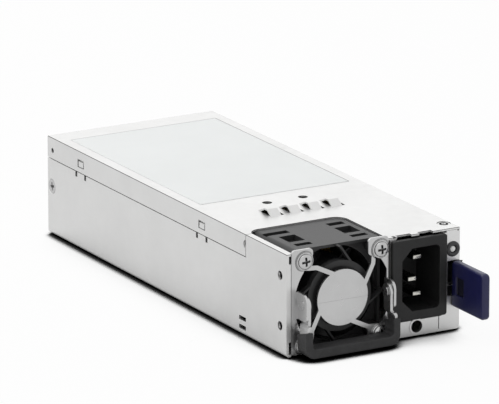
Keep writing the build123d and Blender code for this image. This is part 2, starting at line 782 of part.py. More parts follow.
with BuildPart() as handle_bail:
    with BuildSketch(facing(front)):
        with BuildLine() as bail_path:
            FilletPolyline(
                (fan_x - arm_upper, pivot_z + arm_head_radius),
                (fan_x - arm_upper, joggle_high),
                (fan_x - arm_lower, joggle_low),
                (fan_x - arm_lower, bail_low),
                (fan_x + arm_lower, bail_low),
                (fan_x + arm_lower, joggle_low),
                (fan_x + arm_upper, joggle_high),
                (fan_x + arm_upper, pivot_z + arm_head_radius),
                radius=(joggle_bend, joggle_bend, bail_bend, bail_bend, joggle_bend, joggle_bend),
            )
        trace(line_width=arm_sheet)
    extrude(amount=grip_forward)
    with BuildPart(mode=Mode.PRIVATE) as side_profile:
        rod((fan_x - fan_side, pivot_y, pivot_z), along_x, 2 * fan_side, arm_head_radius)
        block(fan_x - fan_side, fan_x + fan_side, stem_front, stem_back, joggle_high - 1.0, pivot_z)
        with BuildSketch(Plane.YZ.offset(fan_x - fan_side)):
            with BuildLine():
                Polyline(
                    (arm_front, arm_top), (arm_back, arm_top), (arm_low_back, 0), (arm_front, 0), close=True,
                )
            make_face()
        extrude(amount=2 * fan_side)
    add(side_profile.part, mode=Mode.INTERSECT)
    rod(
        (fan_x - fan_side, pivot_y, pivot_z), along_x, 2 * fan_side, arm_pin_radius + running_gap,
        mode=Mode.SUBTRACT,
    )
save(handle_bail, "handle_bail")

with BuildPart() as handle_grip:
    with BuildSketch(facing(front - grip_setback)):
        with Locations((fan_x, (grip_bottom + grip_post_top) / 2)):
            Rectangle(2 * grip_half_span, grip_post_top - grip_bottom)
        with Locations((fan_x, (grip_bottom + grip_post_top) / 2 + grip_bar_thick)):
            Rectangle(
                2 * (grip_half_span - grip_post_thick), grip_post_top - grip_bottom, mode=Mode.SUBTRACT
            )
    extrude(amount=grip_forward - grip_setback)
    outer_corners = handle_grip.edges().filter_by(Axis.Y).group_by(Axis.Z)[0]
    fillet(outer_corners, grip_corner)
    fillet([edge for edge in handle_grip.edges().filter_by(Axis.Y)
            if abs(edge.center().Z - grip_bottom - grip_bar_thick) < 0.01], 1.2)
    # tops of the posts fall, and the back runs forward, towards the bottom
    grip_front = front - grip_forward
    grip_back = front - grip_setback
    with BuildPart(mode=Mode.PRIVATE) as grip_side:
        with BuildSketch(Plane.YZ.offset(fan_x - fan_side)):
            with BuildLine():
                Polyline(
                    (grip_front, grip_bottom), (grip_front, grip_post_top),
                    (grip_back, grip_post_top - grip_post_slope), (front - grip_bottom_setback, grip_bottom),
                    close=True,
                )
            make_face()
        extrude(amount=2 * fan_side)
    add(grip_side.part, mode=Mode.INTERSECT)
    fillet(handle_grip.faces().sort_by(Axis.Y)[0].outer_wire().edges(), 0.7)
    add(handle_bail.part, mode=Mode.SUBTRACT)
save(handle_grip, "handle_grip")

rivet_head_proud = 0.2

with BuildPart() as handle_rivets:
    for side in sides:
        outside = fan_x + side * lug_half_span
        reach = lug_sheet + side_play + arm_sheet + side_play
        rod((outside, pivot_y, pivot_z), (-side, 0, 0), reach, arm_pin_radius)
        rod((outside, pivot_y, pivot_z), (side, 0, 0), rivet_head_proud, 1.7)
        rod((outside - side * reach, pivot_y, pivot_z), (-side, 0, 0), 0.5, 1.8)
save(handle_rivets, "handle_rivets")

# Inlet: bezel and socket in one moulding
bezel_corner = 1.0
bezel_chamfer = 0.25

with BuildPart() as inlet_housing:
    with BuildSketch(facing(front)):
        with Locations(((bezel_left + bezel_right) / 2, socket_z)):
            RectangleRounded(bezel_width, bezel_height, bezel_corner)
    extrude(amount=bezel_proud)
    chamfer(inlet_housing.faces().sort_by(Axis.Y)[0].outer_wire().edges(), bezel_chamfer)
    block(
        body_left, body_right, front, front + socket_depth + inlet_back - bezel_proud,
        body_bottom, body_top,
    )
    with BuildSketch(facing(front - bezel_proud)):
        with Locations((socket_x, socket_z)):
            Rectangle(socket_width, socket_height)
        socket_corners = [v for v in vertices() if v.X < socket_x]
        chamfer(socket_corners, socket_chamfer)
        fillet([v for v in vertices() if v.X > socket_x + socket_width / 2 - 0.01], 1.8)
    extrude(amount=-socket_depth, mode=Mode.SUBTRACT)
    for pin_x, pin_z in (
        (socket_x - 3.0, socket_z), (socket_x + 1.0, socket_z + 7.0), (socket_x + 1.0, socket_z - 7.0),
    ):
        with Locations((pin_x, front + socket_depth, pin_z)):
            Box(4.0, 8.0, 2.0, mode=Mode.SUBTRACT)
save(inlet_housing, "inlet_housing")

pin_back = front + socket_depth + inlet_back - bezel_proud + 5.0
earth_tip = front - 0.7
live_tip = front + 2.5

with BuildPart() as inlet_pins:
    for tip, dx, dz in ((earth_tip, -3.0, 0.0), (live_tip, 1.0, 7.0), (live_tip, 1.0, -7.0)):
        with BuildPart(mode=Mode.PRIVATE) as pin:
            block(
                socket_x + dx - 2.0, socket_x + dx + 2.0, tip, pin_back,
                socket_z + dz - 1.0, socket_z + dz + 1.0,
            )
            chamfer(pin.faces().sort_by(Axis.Y)[0].edges(), 0.5)
        add(pin.part)
save(inlet_pins, "inlet_pins")

# Status light in the flange
ring_proud = 0.8

with BuildPart() as light_ring:
    rod((light_x, front - ring_proud, light_z), along_y, ring_proud, light_ring_radius)
    fillet(light_ring.edges().filter_by(GeomType.CIRCLE).sort_by(Axis.Y)[0], 0.4)
    rod((light_x, front - 0.1, light_z), along_y, tray_sheet + 0.9, light_ring_radius - 0.65)
    rod((light_x, front - 2, light_z), along_y, 6, light_lens_radius, mode=Mode.SUBTRACT)
save(light_ring, "light_ring")

light_proud = 0.5
light_gap = 0.5
light_pipe_length = 7.0
light_board_y = front - light_proud + light_pipe_length + light_gap
light_board_width = 6.0
light_board_thick = 1.0
light_board_half = 3.5
light_plug_width = 3.0
light_plug_depth = 3.0
lamp_half = 0.8

with BuildPart() as light_pipe:
    rod((light_x, front - light_proud, light_z), along_y, light_pipe_length, light_lens_radius)
    fillet(light_pipe.edges().filter_by(GeomType.CIRCLE).sort_by(Axis.Y)[0], 0.5)
save(light_pipe, "light_pipe")

with BuildPart() as light_board:
    block(
        inner_right - light_board_width, inner_right - side_fit,
        light_board_y, light_board_y + light_board_thick,
        light_z - light_board_half, light_z + light_board_half,
    )
    block(
        light_x - lamp_half, light_x + lamp_half, light_board_y - light_gap, light_board_y,
        light_z - lamp_half, light_z + lamp_half,
    )
    block(
        inner_right - light_plug_width, inner_right - side_fit, light_board_y + light_board_thick,
        light_board_y + light_board_thick + light_plug_depth, light_z - 2, light_z + 2,
    )
save(light_board, "light_board")

# Release latch: bracket and pin on the right wall, lever with tooth, tab, torsion spring
bracket_sheet = 1.0
bracket_half = 6.6
bracket_back = latch_axis_y + 13.0
rivet_back = 9.0
rivet_half_pitch = 4.0
rivet_hole = 1.0
coil_radius = 1.5
coil_wire = 0.35
coil_pitch = 0.9
coil_turns = 4.5
coil_gap_half = 2.6
lever_low = latch_z - lever_height / 2
lever_high = latch_z + lever_height / 2
pin_half = bracket_half + bracket_sheet + 0.6

with BuildPart() as latch_bracket:
    wall_plate = inner_right - side_fit
    block(
        wall_plate - bracket_sheet, wall_plate, latch_axis_y + 4.0, bracket_back,
        latch_z - bracket_half - bracket_sheet, latch_z + bracket_half + bracket_sheet,
    )
    for side in sides:
        z0 = latch_z + side * bracket_half
        z1 = z0 + side * bracket_sheet
        block(
            latch_axis_x - 2.6, wall_plate, latch_axis_y - 2.6, latch_axis_y + 5.0,
            min(z0, z1), max(z0, z1),
        )
    rod((latch_axis_x, latch_axis_y, latch_z - 12), along_z, 24, latch_pin_radius, mode=Mode.SUBTRACT)
    for side in sides:
        rivet_z = latch_z + side * rivet_half_pitch
        rod((wall_plate - 2, latch_axis_y + rivet_back, rivet_z), along_x, 4, rivet_hole, mode=Mode.SUBTRACT)
save(latch_bracket, "latch_bracket")

with BuildPart() as latch_rivets:
    for side in sides:
        rivet = (wall_plate - bracket_sheet, latch_axis_y + rivet_back, latch_z + side * rivet_half_pitch)
        rod(rivet, along_x, bracket_sheet + side_fit, rivet_hole - 0.02)
        rod(rivet, (-1, 0, 0), 0.6, 1.8)
save(latch_rivets, "latch_rivets")

with BuildPart() as latch_pin:
    rod((latch_axis_x, latch_axis_y, latch_z - pin_half), along_z, 2 * pin_half, latch_pin_radius)
    rod((latch_axis_x, latch_axis_y, latch_z + bracket_half + bracket_sheet), along_z, 0.8, 1.8)
save(latch_pin, "latch_pin")

tab_back = front - tab_face_gap
tab_recess_depth = 0.7
tab_recess_near = 3.1
tab_recess_far = 8.3
tab_recess_half = 3.45

with BuildPart() as latch_lever:
    block(lever_inner, lever_outer, tab_back - 9.0, latch_axis_y, lever_low, lever_high)
    rod((latch_axis_x, latch_axis_y, lever_low), along_z, lever_height, knuckle_radius)
    rod(
        (latch_axis_x, latch_axis_y, lever_low - 1), along_z, lever_height + 2,
        latch_pin_radius + running_gap, mode=Mode.SUBTRACT,
    )
    # seat of the spring in the middle of the knuckle
    block(
        latch_axis_x - 8, latch_axis_x + 8, latch_axis_y - knuckle_radius - touch_gap, latch_axis_y + 8,
        latch_z - coil_gap_half, latch_z + coil_gap_half, mode=Mode.SUBTRACT,
    )
    # small stop behind the flange, seen through the slot
    block(stop_left, lever_outer, front + 1.3, front + 3.3, stop_low, stop_low + lever_sheet)
    # wedge tooth through the wall
    with BuildSketch(Plane.XY.offset(latch_z - tooth_height / 2)):
        with BuildLine():
            Polyline(
                (lever_outer - 0.2, tooth_y), (right + tooth_proud, tooth_y + tooth_length * 0.65),
                (right + tooth_proud, tooth_y + tooth_length), (lever_outer - 0.2, tooth_y + tooth_length),
                close=True,
            )
        make_face()
    extrude(amount=tooth_height)
save(latch_lever, "latch_lever")

with BuildPart() as latch_tab:
    block(tab_left, tab_left + tab_thick, front - tab_forward, tab_back, tab_bottom, tab_bottom + tab_height)
    fillet(latch_tab.edges().filter_by(Axis.X).group_by(Axis.Y)[0], tab_corner)
    fillet(latch_tab.faces().sort_by(Axis.Y)[0].edges().filter_by(Axis.Z), tab_nose)
    block(
        tab_left - 1, tab_left + tab_recess_depth, front - tab_recess_far, front - tab_recess_near,
        tab_z - tab_recess_half, tab_z + tab_recess_half, mode=Mode.SUBTRACT,
    )
    add(latch_lever.part, mode=Mode.SUBTRACT)
save(latch_tab, "latch_tab")

coil_height = coil_pitch * coil_turns
coil_low = latch_z - coil_height / 2
front_leg_x = lever_inner - coil_wire - 0.02
coil_start = math.degrees(math.acos((front_leg_x - latch_axis_x) / coil_radius))
leg_y = coil_radius * math.sin(math.radians(coil_start))

with BuildPart() as spring_coil:
    with BuildLine() as coil_path:
        Helix(coil_pitch, coil_height, coil_radius)
    with BuildSketch(Plane(origin=coil_path.line @ 0, z_dir=coil_path.line % 0)):
        Circle(coil_wire)
    sweep(is_frenet=True)

# one leg lies on the lever, the other reaches back towards the bracket
leg_length = 5.6
back_leg_x = 2 * latch_axis_x - front_leg_x

with BuildPart() as latch_spring:
    with Locations(Location((latch_axis_x, latch_axis_y, coil_low), (0, 0, -coil_start))):
        add(spring_coil.part)
    rod((front_leg_x, latch_axis_y - leg_y + coil_wire, coil_low), (0, -1, 0), leg_length, coil_wire)
    rod(
        (back_leg_x - coil_wire / 2, latch_axis_y + leg_y - coil_wire, coil_low + coil_height),
        (1.6, 5.2, 0), leg_length, coil_wire,
    )
save(latch_spring, "latch_spring")

# Main board with the edge connector's tongue
board_front = fan_rear + board_behind_fan
board_rear = rear - rear_sheet - board_rear_gap
board_left = inner_left + board_side_gap
board_right = inner_right - board_side_gap
standoff_radius = 2.6
standoff_inset = 4.2
standoff_from_end = 5.0

# Components stand one behind the other: a left column, a mains column and a rear row
part_lift = 0.02
capacitor_radius = 12.5
capacitor_length = 40.0
capacitor_front = board_front + 4.5
capacitor_y = capacitor_front + capacitor_length / 2
boost_outer = 11.5
boost_wire = 1.2
boost_y = capacitor_front + capacitor_length + 1.8 + boost_outer + boost_wire
output_can_radius = 4.0
cans_y = board_rear - 18.7
standoff_middle = boost_y + boost_outer + boost_wire + touch_gap
transformer_y = (boost_y + boost_outer + boost_wire + cans_y - output_can_radius) / 2
choke_outer = 8.5
choke_wire = 1.1
choke_reach = choke_outer + choke_wire
film_thick = 8.5
fuse_radius = 2.6
relay_half = 5.0
bridge_half = 2.0
near_gap = 0.6
far_gap = 1.5
first_choke_y = board_front + 4.3 + choke_reach
first_film_y = first_choke_y + choke_reach + touch_gap + film_thick / 2
fuse_y = first_film_y + film_thick / 2 + near_gap + fuse_radius
second_choke_y = fuse_y + fuse_radius + near_gap + choke_reach
second_film_y = second_choke_y + choke_reach + near_gap + film_thick / 2
relay_y = second_film_y + film_thick / 2 + far_gap + relay_half
bridge_y = relay_y + relay_half + far_gap + bridge_half
output_choke_y = (bridge_y + bridge_half + cans_y - output_can_radius) / 2

standoff_places = [
    (x, y)
    for x in (board_left + standoff_inset, board_right - standoff_inset)
    for y in (board_front + standoff_from_end, standoff_middle, board_rear - standoff_from_end)
]

with BuildPart() as main_board:
    block(board_left, board_right, board_front, board_rear, board_bottom, board_top)
    block(
        -tongue_half_width, tongue_half_width, board_rear - 1, rear + tongue_length,
        board_bottom, board_top,
    )
    for x, y in standoff_places:
        rod((x, y, board_bottom - 1), along_z, 4, 1.6, mode=Mode.SUBTRACT)
save(main_board, "main_board")

with BuildPart() as board_standoffs:
    for x, y in standoff_places:
        rod((x, y, tray_sheet), along_z, board_above_floor, standoff_radius)
        rod((x, y, tray_sheet), along_z, board_above_floor + 1, 1.3, mode=Mode.SUBTRACT)
save(board_standoffs, "board_standoffs")

with BuildPart() as board_screws:
    for x, y in standoff_places:
        rod((x, y, board_top), along_z, 1.6, 2.7)
        rod((x, y, board_top - 4.8), along_z, 4.8, 1.28)
save(board_screws, "board_screws")

insulator_thick = 0.3

with BuildPart() as insulator_sheet:
    block(
        inner_left + 0.6, inner_right - 0.6, board_front, rear - rear_flange - touch_gap,
        tray_sheet, tray_sheet + insulator_thick,
    )
    for x, y in standoff_places:
        rod((x, y, 0), along_z, 5, standoff_radius + touch_gap, mode=Mode.SUBTRACT)
save(insulator_sheet, "insulator_sheet")

contact_pitch = 4.0
contact_width = 3.0
contact_count = 12
contact_film = 0.06

with BuildPart() as edge_contacts:
    with Locations(
        (0, rear + tongue_length / 2, board_top + contact_film / 2),
        (0, rear + tongue_length / 2, board_bottom - contact_film / 2),
    ):
        with GridLocations(contact_pitch, 1, contact_count, 1):
            Box(contact_width, tongue_length - 2.0, contact_film)
save(edge_contacts, "edge_contacts")

# Components, left column: bulk capacitor, boost choke, transformer
capacitor_x = board_left + capacitor_radius + 2.0
capacitor_z = board_top + capacitor_radius + 0.05

with BuildPart() as bulk_capacitor:
    rod(
        (capacitor_x, capacitor_y - capacitor_length / 2, capacitor_z), along_y,
        capacitor_length, capacitor_radius,
    )
    fillet(bulk_capacitor.edges().filter_by(GeomType.CIRCLE), 1.0)
    groove_y = capacitor_y - capacitor_length / 2 + 3
    with Locations(Plane(origin=(capacitor_x, groove_y, capacitor_z), z_dir=along_y)):
        Torus(capacitor_radius + 0.25, 0.7, mode=Mode.SUBTRACT)
save(bulk_capacitor, "bulk_capacitor")


def ring_core(x, y, outer, inner, height, lift):
    # a toroidal core lying flat above the board
    rod((x, y, board_top + lift), along_z, height, outer)
    rod((x, y, board_top), along_z, height + lift + 1, inner, mode=Mode.SUBTRACT)


def ring_winding(x, y, outer, inner, height, wire, turns, start, spread):
    # square loops of wire round the core, spread over an angle
    middle = (outer + inner) / 2
    for turn in range(turns):
        angle = start + spread * turn / (turns - 1)
        with BuildPart(mode=Mode.PRIVATE) as loop:
            with Locations((middle, 0, 0)):
                Box(outer - inner + 2 * wire, wire * 0.8, height + 2 * wire)
                Box(outer - inner + 0.04, wire, height + 0.04, mode=Mode.SUBTRACT)
        with Locations(Location((x, y, board_top + wire + height / 2), (0, 0, angle))):
            add(loop.part)


boost_inner = 6.0
boost_height = 11.0
boost_turns = 18
boost_start = 10
boost_spread = 340
boost_x = board_left + boost_outer + 3.5

with BuildPart() as boost_choke_core:
    ring_core(boost_x, boost_y, boost_outer, boost_inner, boost_height, boost_wire)
save(boost_choke_core, "boost_choke_core")

with BuildPart() as boost_choke_winding:
    ring_winding(
        boost_x, boost_y, boost_outer, boost_inner, boost_height, boost_wire, boost_turns,
        boost_start, boost_spread,
    )
save(boost_choke_winding, "boost_choke_winding")

# Transformer: ferrite core, bobbin and winding
transformer_x = board_left + 14.5
core_half_x = 13.0
core_half_y = 11.0
core_height = 22.0
core_leg = 4.5
centre_leg = 4.0
bobbin_wall = 0.8
winding_half_x = 8.2
transformer_lift = 1.0
core_low = board_top + transformer_lift
core_high = core_low + core_height

with BuildPart() as transformer_core:
    block(
        transformer_x - core_half_x, transformer_x + core_half_x,
        transformer_y - core_half_y / 2, transformer_y + core_half_y / 2, core_low, core_high,
    )
    block(
        transformer_x - core_half_x + core_leg, transformer_x + core_half_x - core_leg,
        transformer_y - core_half_y, transformer_y + core_half_y,
        core_low + core_leg, core_high - core_leg, mode=Mode.SUBTRACT,
    )
    rod((transformer_x, transformer_y, core_low), along_z, core_height, centre_leg)
save(transformer_core, "transformer_core")

with BuildPart() as transformer_bobbin:
    rod(
        (transformer_x, transformer_y, core_low + core_leg + 0.1), along_z,
        core_height - 2 * core_leg - 0.2, centre_leg + 0.1 + bobbin_wall,
    )
    for z0 in (core_low + core_leg + 0.1, core_high - core_leg - 0.1 - bobbin_wall):
        rod((transformer_x, transformer_y, z0), along_z, bobbin_wall, winding_half_x)
    for side in sides:
        y0 = transformer_y + side * (core_half_y / 2 + 0.3)
        y1 = transformer_y + side * (core_half_y / 2 + 4.0)
        block(
            transformer_x - core_half_x + 1, transformer_x + core_half_x - 1,
            min(y0, y1), max(y0, y1), board_top + part_lift, core_low + core_leg + 0.9,
        )
    rod(
        (transformer_x, transformer_y, core_low), along_z, core_height, centre_leg + 0.1, mode=Mode.SUBTRACT,
    )
save(transformer_bobbin, "transformer_bobbin")

with BuildPart() as transformer_winding:
    rod(
        (transformer_x, transformer_y, core_low + core_leg + 0.2 + bobbin_wall), along_z,
        core_height - 2 * core_leg - 0.4 - 2 * bobbin_wall, winding_half_x - 0.3,
    )
    rod(
        (transformer_x, transformer_y, core_low), along_z, core_height, centre_leg + 0.2 + bobbin_wall,
        mode=Mode.SUBTRACT,
    )
save(transformer_winding, "transformer_winding")

# Primary heatsink down the middle, with transistors and the bridge rectifier screwed to it
sink_x = board_left + 29.6
sink_base = 3.0
sink_height = 24.0
sink_front = boost_y - 7.2
sink_rear = cans_y - output_can_radius - 6.0
sink_fin = 1.0
sink_fin_reach = 5.0
sink_fin_count = 6

with BuildPart() as primary_heatsink:
    block(sink_x, sink_x + sink_base, sink_front, sink_rear, board_top + part_lift, board_top + sink_height)
    for fin in range(sink_fin_count):
        z0 = board_top + 3.0 + fin * (sink_height - 4.0) / sink_fin_count
        block(
            sink_x + sink_base, sink_x + sink_base + sink_fin_reach, sink_front, sink_rear,
            z0, z0 + sink_fin,
        )
save(primary_heatsink, "primary_heatsink")


def package(face_x, y, width, thick, low, high):
    # a plastic transistor body flat against a face at x, its back to the heatsink
    block(face_x - thick, face_x, y - width / 2, y + width / 2, low, high)
    for lead in (-1, 0, 1):
        lead_y = y + lead * width * 0.3
        block(face_x - thick / 2 - 0.3, face_x - thick / 2 + 0.3, lead_y - 0.4, lead_y + 0.4, board_top, low)


device_gap = 0.02
device_width = 4.6
device_thick = 1.6

with BuildPart() as power_transistors:
    for device_y in (boost_y - 4.3, transformer_y - core_half_y - 6.0):
        package(sink_x - device_gap, device_y, device_width, device_thick, board_top + 4, board_top + 20)
save(power_transistors, "power_transistors")

# Mains column: fuse, chokes, film capacitors, relay, bridge rectifier
mains_inset = 13.5
mains_x = board_right - mains_inset
fuse_x = mains_x - 5.5
fuse_length = 20.0
fuse_cap = 5.5

with BuildPart() as fuse:
    fuse_z = board_top + fuse_radius + part_lift
    rod((fuse_x - fuse_length / 2, fuse_y, fuse_z), along_x, fuse_length, fuse_radius - 0.25)
    for end in sides:
        cap_x = fuse_x + end * (fuse_length / 2 - fuse_cap)
        rod((cap_x, fuse_y, fuse_z), (end, 0, 0), fuse_cap, fuse_radius)
save(fuse, "fuse")

choke_inner = 4.6
choke_height = 8.0
choke_turns = 8
choke_spread = 124
choke_places = ((mains_x - 4.6, first_choke_y), (mains_x - 0.5, second_choke_y))

with BuildPart() as filter_choke_cores:
    for x, y in choke_places:
        with BuildPart(mode=Mode.PRIVATE) as one_core:
            ring_core(x, y, choke_outer, choke_inner, choke_height, choke_wire)
        add(one_core.part)
save(filter_choke_cores, "filter_choke_cores")

with BuildPart() as filter_choke_windings:
    for x, y in choke_places:
        for middle in (0, 180):
            ring_winding(
                x, y, choke_outer, choke_inner, choke_height, choke_wire, choke_turns,
                middle - choke_spread / 2, choke_spread,
            )
save(filter_choke_windings, "filter_choke_windings")

film_width = 22.0
film_height = 15.0

with BuildPart() as film_capacitors:
    for y in (first_film_y, second_film_y):
        block(
            mains_x - film_width / 2, mains_x + film_width / 2, y - film_thick / 2, y + film_thick / 2,
            board_top + part_lift, board_top + film_height,
        )
    fillet(film_capacitors.edges().filter_by(Axis.Z), 0.8)
save(film_capacitors, "film_capacitors")

disc_radius = 3.6

with BuildPart() as disc_capacitors:
    for y in (fuse_y, second_choke_y + 7.2):
        rod((board_right - 3.2, y - 1.2, board_top + disc_radius + 1.4), along_y, 2.4, disc_radius)
        for lead in sides:
            rod((board_right - 3.2 + lead * 1.8, y, board_top), along_z, 2.4, 0.35)
save(disc_capacitors, "disc_capacitors")

relay_x = mains_x - 3.5
relay_length = 18.0
relay_height = 15.5

with BuildPart() as relay:
    block(
        relay_x - relay_length / 2, relay_x + relay_length / 2, relay_y - relay_half, relay_y + relay_half,
        board_top + part_lift, board_top + relay_height,
    )
    fillet(relay.edges().filter_by(Axis.Z), 0.6)
save(relay, "relay")

bridge_x = mains_x - 4.0
bridge_half_width = 10.0
bridge_lift = 4.0
bridge_height = 22.0

with BuildPart() as bridge_rectifier:
    block(
        bridge_x - bridge_half_width, bridge_x + bridge_half_width,
        bridge_y - bridge_half, bridge_y + bridge_half, board_top + bridge_lift, board_top + bridge_height,
    )
    for lead in (-1.5, -0.5, 0.5, 1.5):
        lead_x = bridge_x + lead * bridge_half_width / 2
        block(lead_x - 0.5, lead_x + 0.5, bridge_y - 0.4, bridge_y + 0.4, board_top, board_top + bridge_lift)
save(bridge_rectifier, "bridge_rectifier")

# Output side: choke, capacitors, heatsink, bus bars
output_choke_half = 8.5
output_choke_height = 12.0

with BuildPart() as output_choke:
    block(
        mains_x - output_choke_half, mains_x + output_choke_half,
        output_choke_y - output_choke_half, output_choke_y + output_choke_half,
        board_top + part_lift, board_top + output_choke_height,
    )
    fillet(output_choke.edges().filter_by(Axis.Z), 1.5)
save(output_choke, "output_choke")

output_can_height = 20.0

with BuildPart() as output_capacitors:
    for column in range(6):
        can_x = board_left + 6.0 + column * 2.6 * output_can_radius
        with BuildPart(mode=Mode.PRIVATE) as can:
            rod((can_x, cans_y, board_top + part_lift), along_z, output_can_height, output_can_radius)
            fillet(can.edges().filter_by(GeomType.CIRCLE).sort_by(Axis.Z)[-1], 0.6)
        add(can.part)
save(output_capacitors, "output_capacitors")

rear_sink_y = cans_y + 12.2
rear_sink_sheet = 2.0
rear_sink_height = 20.0
rear_sink_lip = 6.0
rear_sink_inset = 8.0

with BuildPart() as output_heatsink:
    block(
        board_left + rear_sink_inset, board_right - rear_sink_inset,
        rear_sink_y, rear_sink_y + rear_sink_sheet,
        board_top + part_lift, board_top + rear_sink_height,
    )
    block(
        board_left + rear_sink_inset, board_right - rear_sink_inset,
        rear_sink_y - rear_sink_lip, rear_sink_y + rear_sink_sheet,
        board_top + rear_sink_height, board_top + rear_sink_height + rear_sink_sheet,
    )
save(output_heatsink, "output_heatsink")

busbar_x = 12.0
busbar_half = 8.0
busbar_height = 6.0

with BuildPart() as output_busbars:
    for side in sides:
        block(
            side * busbar_x - busbar_half, side * busbar_x + busbar_half,
            cans_y + output_can_radius + 1.0, rear_sink_y - 1.4,
            board_top + part_lift, board_top + busbar_height,
        )
save(output_busbars, "output_busbars")

# Control board standing at the right, with its chips and header
control_x = board_right - 2.6
control_thick = 1.2
control_height = 22.0
control_front = output_choke_y - output_choke_half - 1.9
control_rear = cans_y - 1.5

with BuildPart() as control_board:
    block(
        control_x, control_x + control_thick, control_front, control_rear,
        board_top + part_lift, board_top + control_height,
    )
save(control_board, "control_board")

with BuildPart() as control_chips:
    for share, low, size in ((0.14, 6.0, 5.0), (0.37, 12.0, 4.0), (0.69, 7.0, 6.0)):
        y = control_front + share * (control_rear - control_front)
        block(
            control_x - 1.0, control_x, y - size / 2, y + size / 2,
            board_top + low, board_top + low + size,
        )
save(control_chips, "control_chips")

# Fan header on the board and the fan's cable to it
header_inset = 33.0
header_x = board_left + header_inset
header_y = board_front + 4.5
header_half_x = 5.0
header_half_y = 2.5
header_height = 6.5
cable_radius = 1.1
cable_height = 15.0

with BuildPart() as fan_header:
    block(
        header_x - header_half_x, header_x + header_half_x,
        header_y - header_half_y, header_y + header_half_y,
        board_top + part_lift, board_top + header_height,
    )
save(fan_header, "fan_header")

with BuildPart() as fan_cable:
    with BuildLine() as cable_path:
        FilletPolyline(
            (header_x, fan_rear + part_lift, board_top + cable_height),
            (header_x, header_y, board_top + cable_height),
            (header_x, header_y, board_top + header_height + part_lift),
            radius=3.0,
        )
    with BuildSketch(Plane(origin=cable_path.line @ 0, z_dir=cable_path.line % 0)):
        Circle(cable_radius)
    sweep()
save(fan_cable, "fan_cable")

# Wires from the inlet's pins to the board
mains_wire_radius = 1.3
wire_pitch = 3.6
wire_landing_y = board_front + 2.2

with BuildPart() as inlet_wires:
    for number, (dx, dz) in enumerate(((-3.0, 0.0), (1.0, 7.0), (1.0, -7.0))):
        start_x = socket_x + dx
        start_z = socket_z + dz
        end_x = bezel_left + 2.5 + number * wire_pitch
        with BuildPart(mode=Mode.PRIVATE) as wire:
            with BuildLine() as wire_path:
                FilletPolyline(
                    (start_x, pin_back + part_lift, start_z),
                    (start_x, pin_back + 6.0, start_z),
                    (end_x, wire_landing_y, board_top + 9.0),
                    (end_x, wire_landing_y, board_top + part_lift),
                    radius=2.4,
                )
            with BuildSketch(Plane(origin=wire_path.line @ 0, z_dir=wire_path.line % 0)):
                Circle(mains_wire_radius)
            sweep()
        add(wire.part)
save(inlet_wires, "inlet_wires")
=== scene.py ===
import json
import math

import bmesh
import bpy
import numpy as np
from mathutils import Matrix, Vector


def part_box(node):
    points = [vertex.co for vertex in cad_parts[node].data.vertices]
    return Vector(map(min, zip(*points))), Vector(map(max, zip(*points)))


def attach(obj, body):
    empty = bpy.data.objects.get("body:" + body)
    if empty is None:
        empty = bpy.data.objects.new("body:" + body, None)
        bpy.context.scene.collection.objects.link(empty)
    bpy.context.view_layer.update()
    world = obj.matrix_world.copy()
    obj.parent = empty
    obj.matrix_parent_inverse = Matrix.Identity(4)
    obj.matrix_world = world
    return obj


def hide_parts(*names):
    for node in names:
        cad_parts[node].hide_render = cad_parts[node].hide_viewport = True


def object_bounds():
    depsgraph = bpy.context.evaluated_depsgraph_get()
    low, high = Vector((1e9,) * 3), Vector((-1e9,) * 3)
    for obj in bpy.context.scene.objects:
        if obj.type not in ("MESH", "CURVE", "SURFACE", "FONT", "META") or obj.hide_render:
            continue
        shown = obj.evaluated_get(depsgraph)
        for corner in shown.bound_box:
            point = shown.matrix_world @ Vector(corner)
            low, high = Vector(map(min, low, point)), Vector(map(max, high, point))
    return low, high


# Hot-swap power supply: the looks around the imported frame. Metres; X right, Y to the rear, Z up.
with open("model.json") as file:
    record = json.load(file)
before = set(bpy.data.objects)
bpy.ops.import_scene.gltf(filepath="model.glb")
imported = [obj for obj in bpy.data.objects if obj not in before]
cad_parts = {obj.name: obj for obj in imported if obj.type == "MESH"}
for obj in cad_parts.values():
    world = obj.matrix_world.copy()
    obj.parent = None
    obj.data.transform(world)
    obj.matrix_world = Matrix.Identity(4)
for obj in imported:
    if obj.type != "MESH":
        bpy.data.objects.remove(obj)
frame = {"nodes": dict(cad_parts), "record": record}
nodes = frame["nodes"]
cadBox = [list(corner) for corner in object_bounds()]
slotOf = {part["node"]: part["material_slot"] for part in frame["record"]["subparts"]}
bodies = frame["record"]["behaviour"]["bodies"]
bodyOf = {node: body for body, members in bodies.items() for node in members}
mm = 0.001
print("frame loaded:", len(nodes), "nodes")


def middle(node):
    # middle of a CAD node's box, in millimetres
    low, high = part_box(node)
    return (np.asarray(low) + np.asarray(high)) / 2 / mm


def facePlace(node, axis, side):
    # place of one face of a CAD node's box along an axis, in millimetres
    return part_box(node)[side][axis] / mm


# Nodes that the finishes and the stage share
def emptied(owner):
    # the node tree of a material or world, with nothing in it
    owner.use_nodes = True
    owner.node_tree.nodes.clear()
    return owner.node_tree


def combined(tree, operation, first, second):
    # one Math node; its second value is a socket or a number
    node = tree.nodes.new("ShaderNodeMath")
    node.operation = operation
    tree.links.new(first, node.inputs[0])
    if isinstance(second, bpy.types.NodeSocket):
        tree.links.new(second, node.inputs[1])
    else:
        node.inputs[1].default_value = second
    return node.outputs[0]


def ranged(tree, value, source, target=(0, 1)):
    # one Map Range node
    node = tree.nodes.new("ShaderNodeMapRange")
    node.inputs["From Min"].default_value, node.inputs["From Max"].default_value = source
    node.inputs["To Min"].default_value, node.inputs["To Max"].default_value = target
    tree.links.new(value, node.inputs["Value"])
    return node.outputs["Result"]


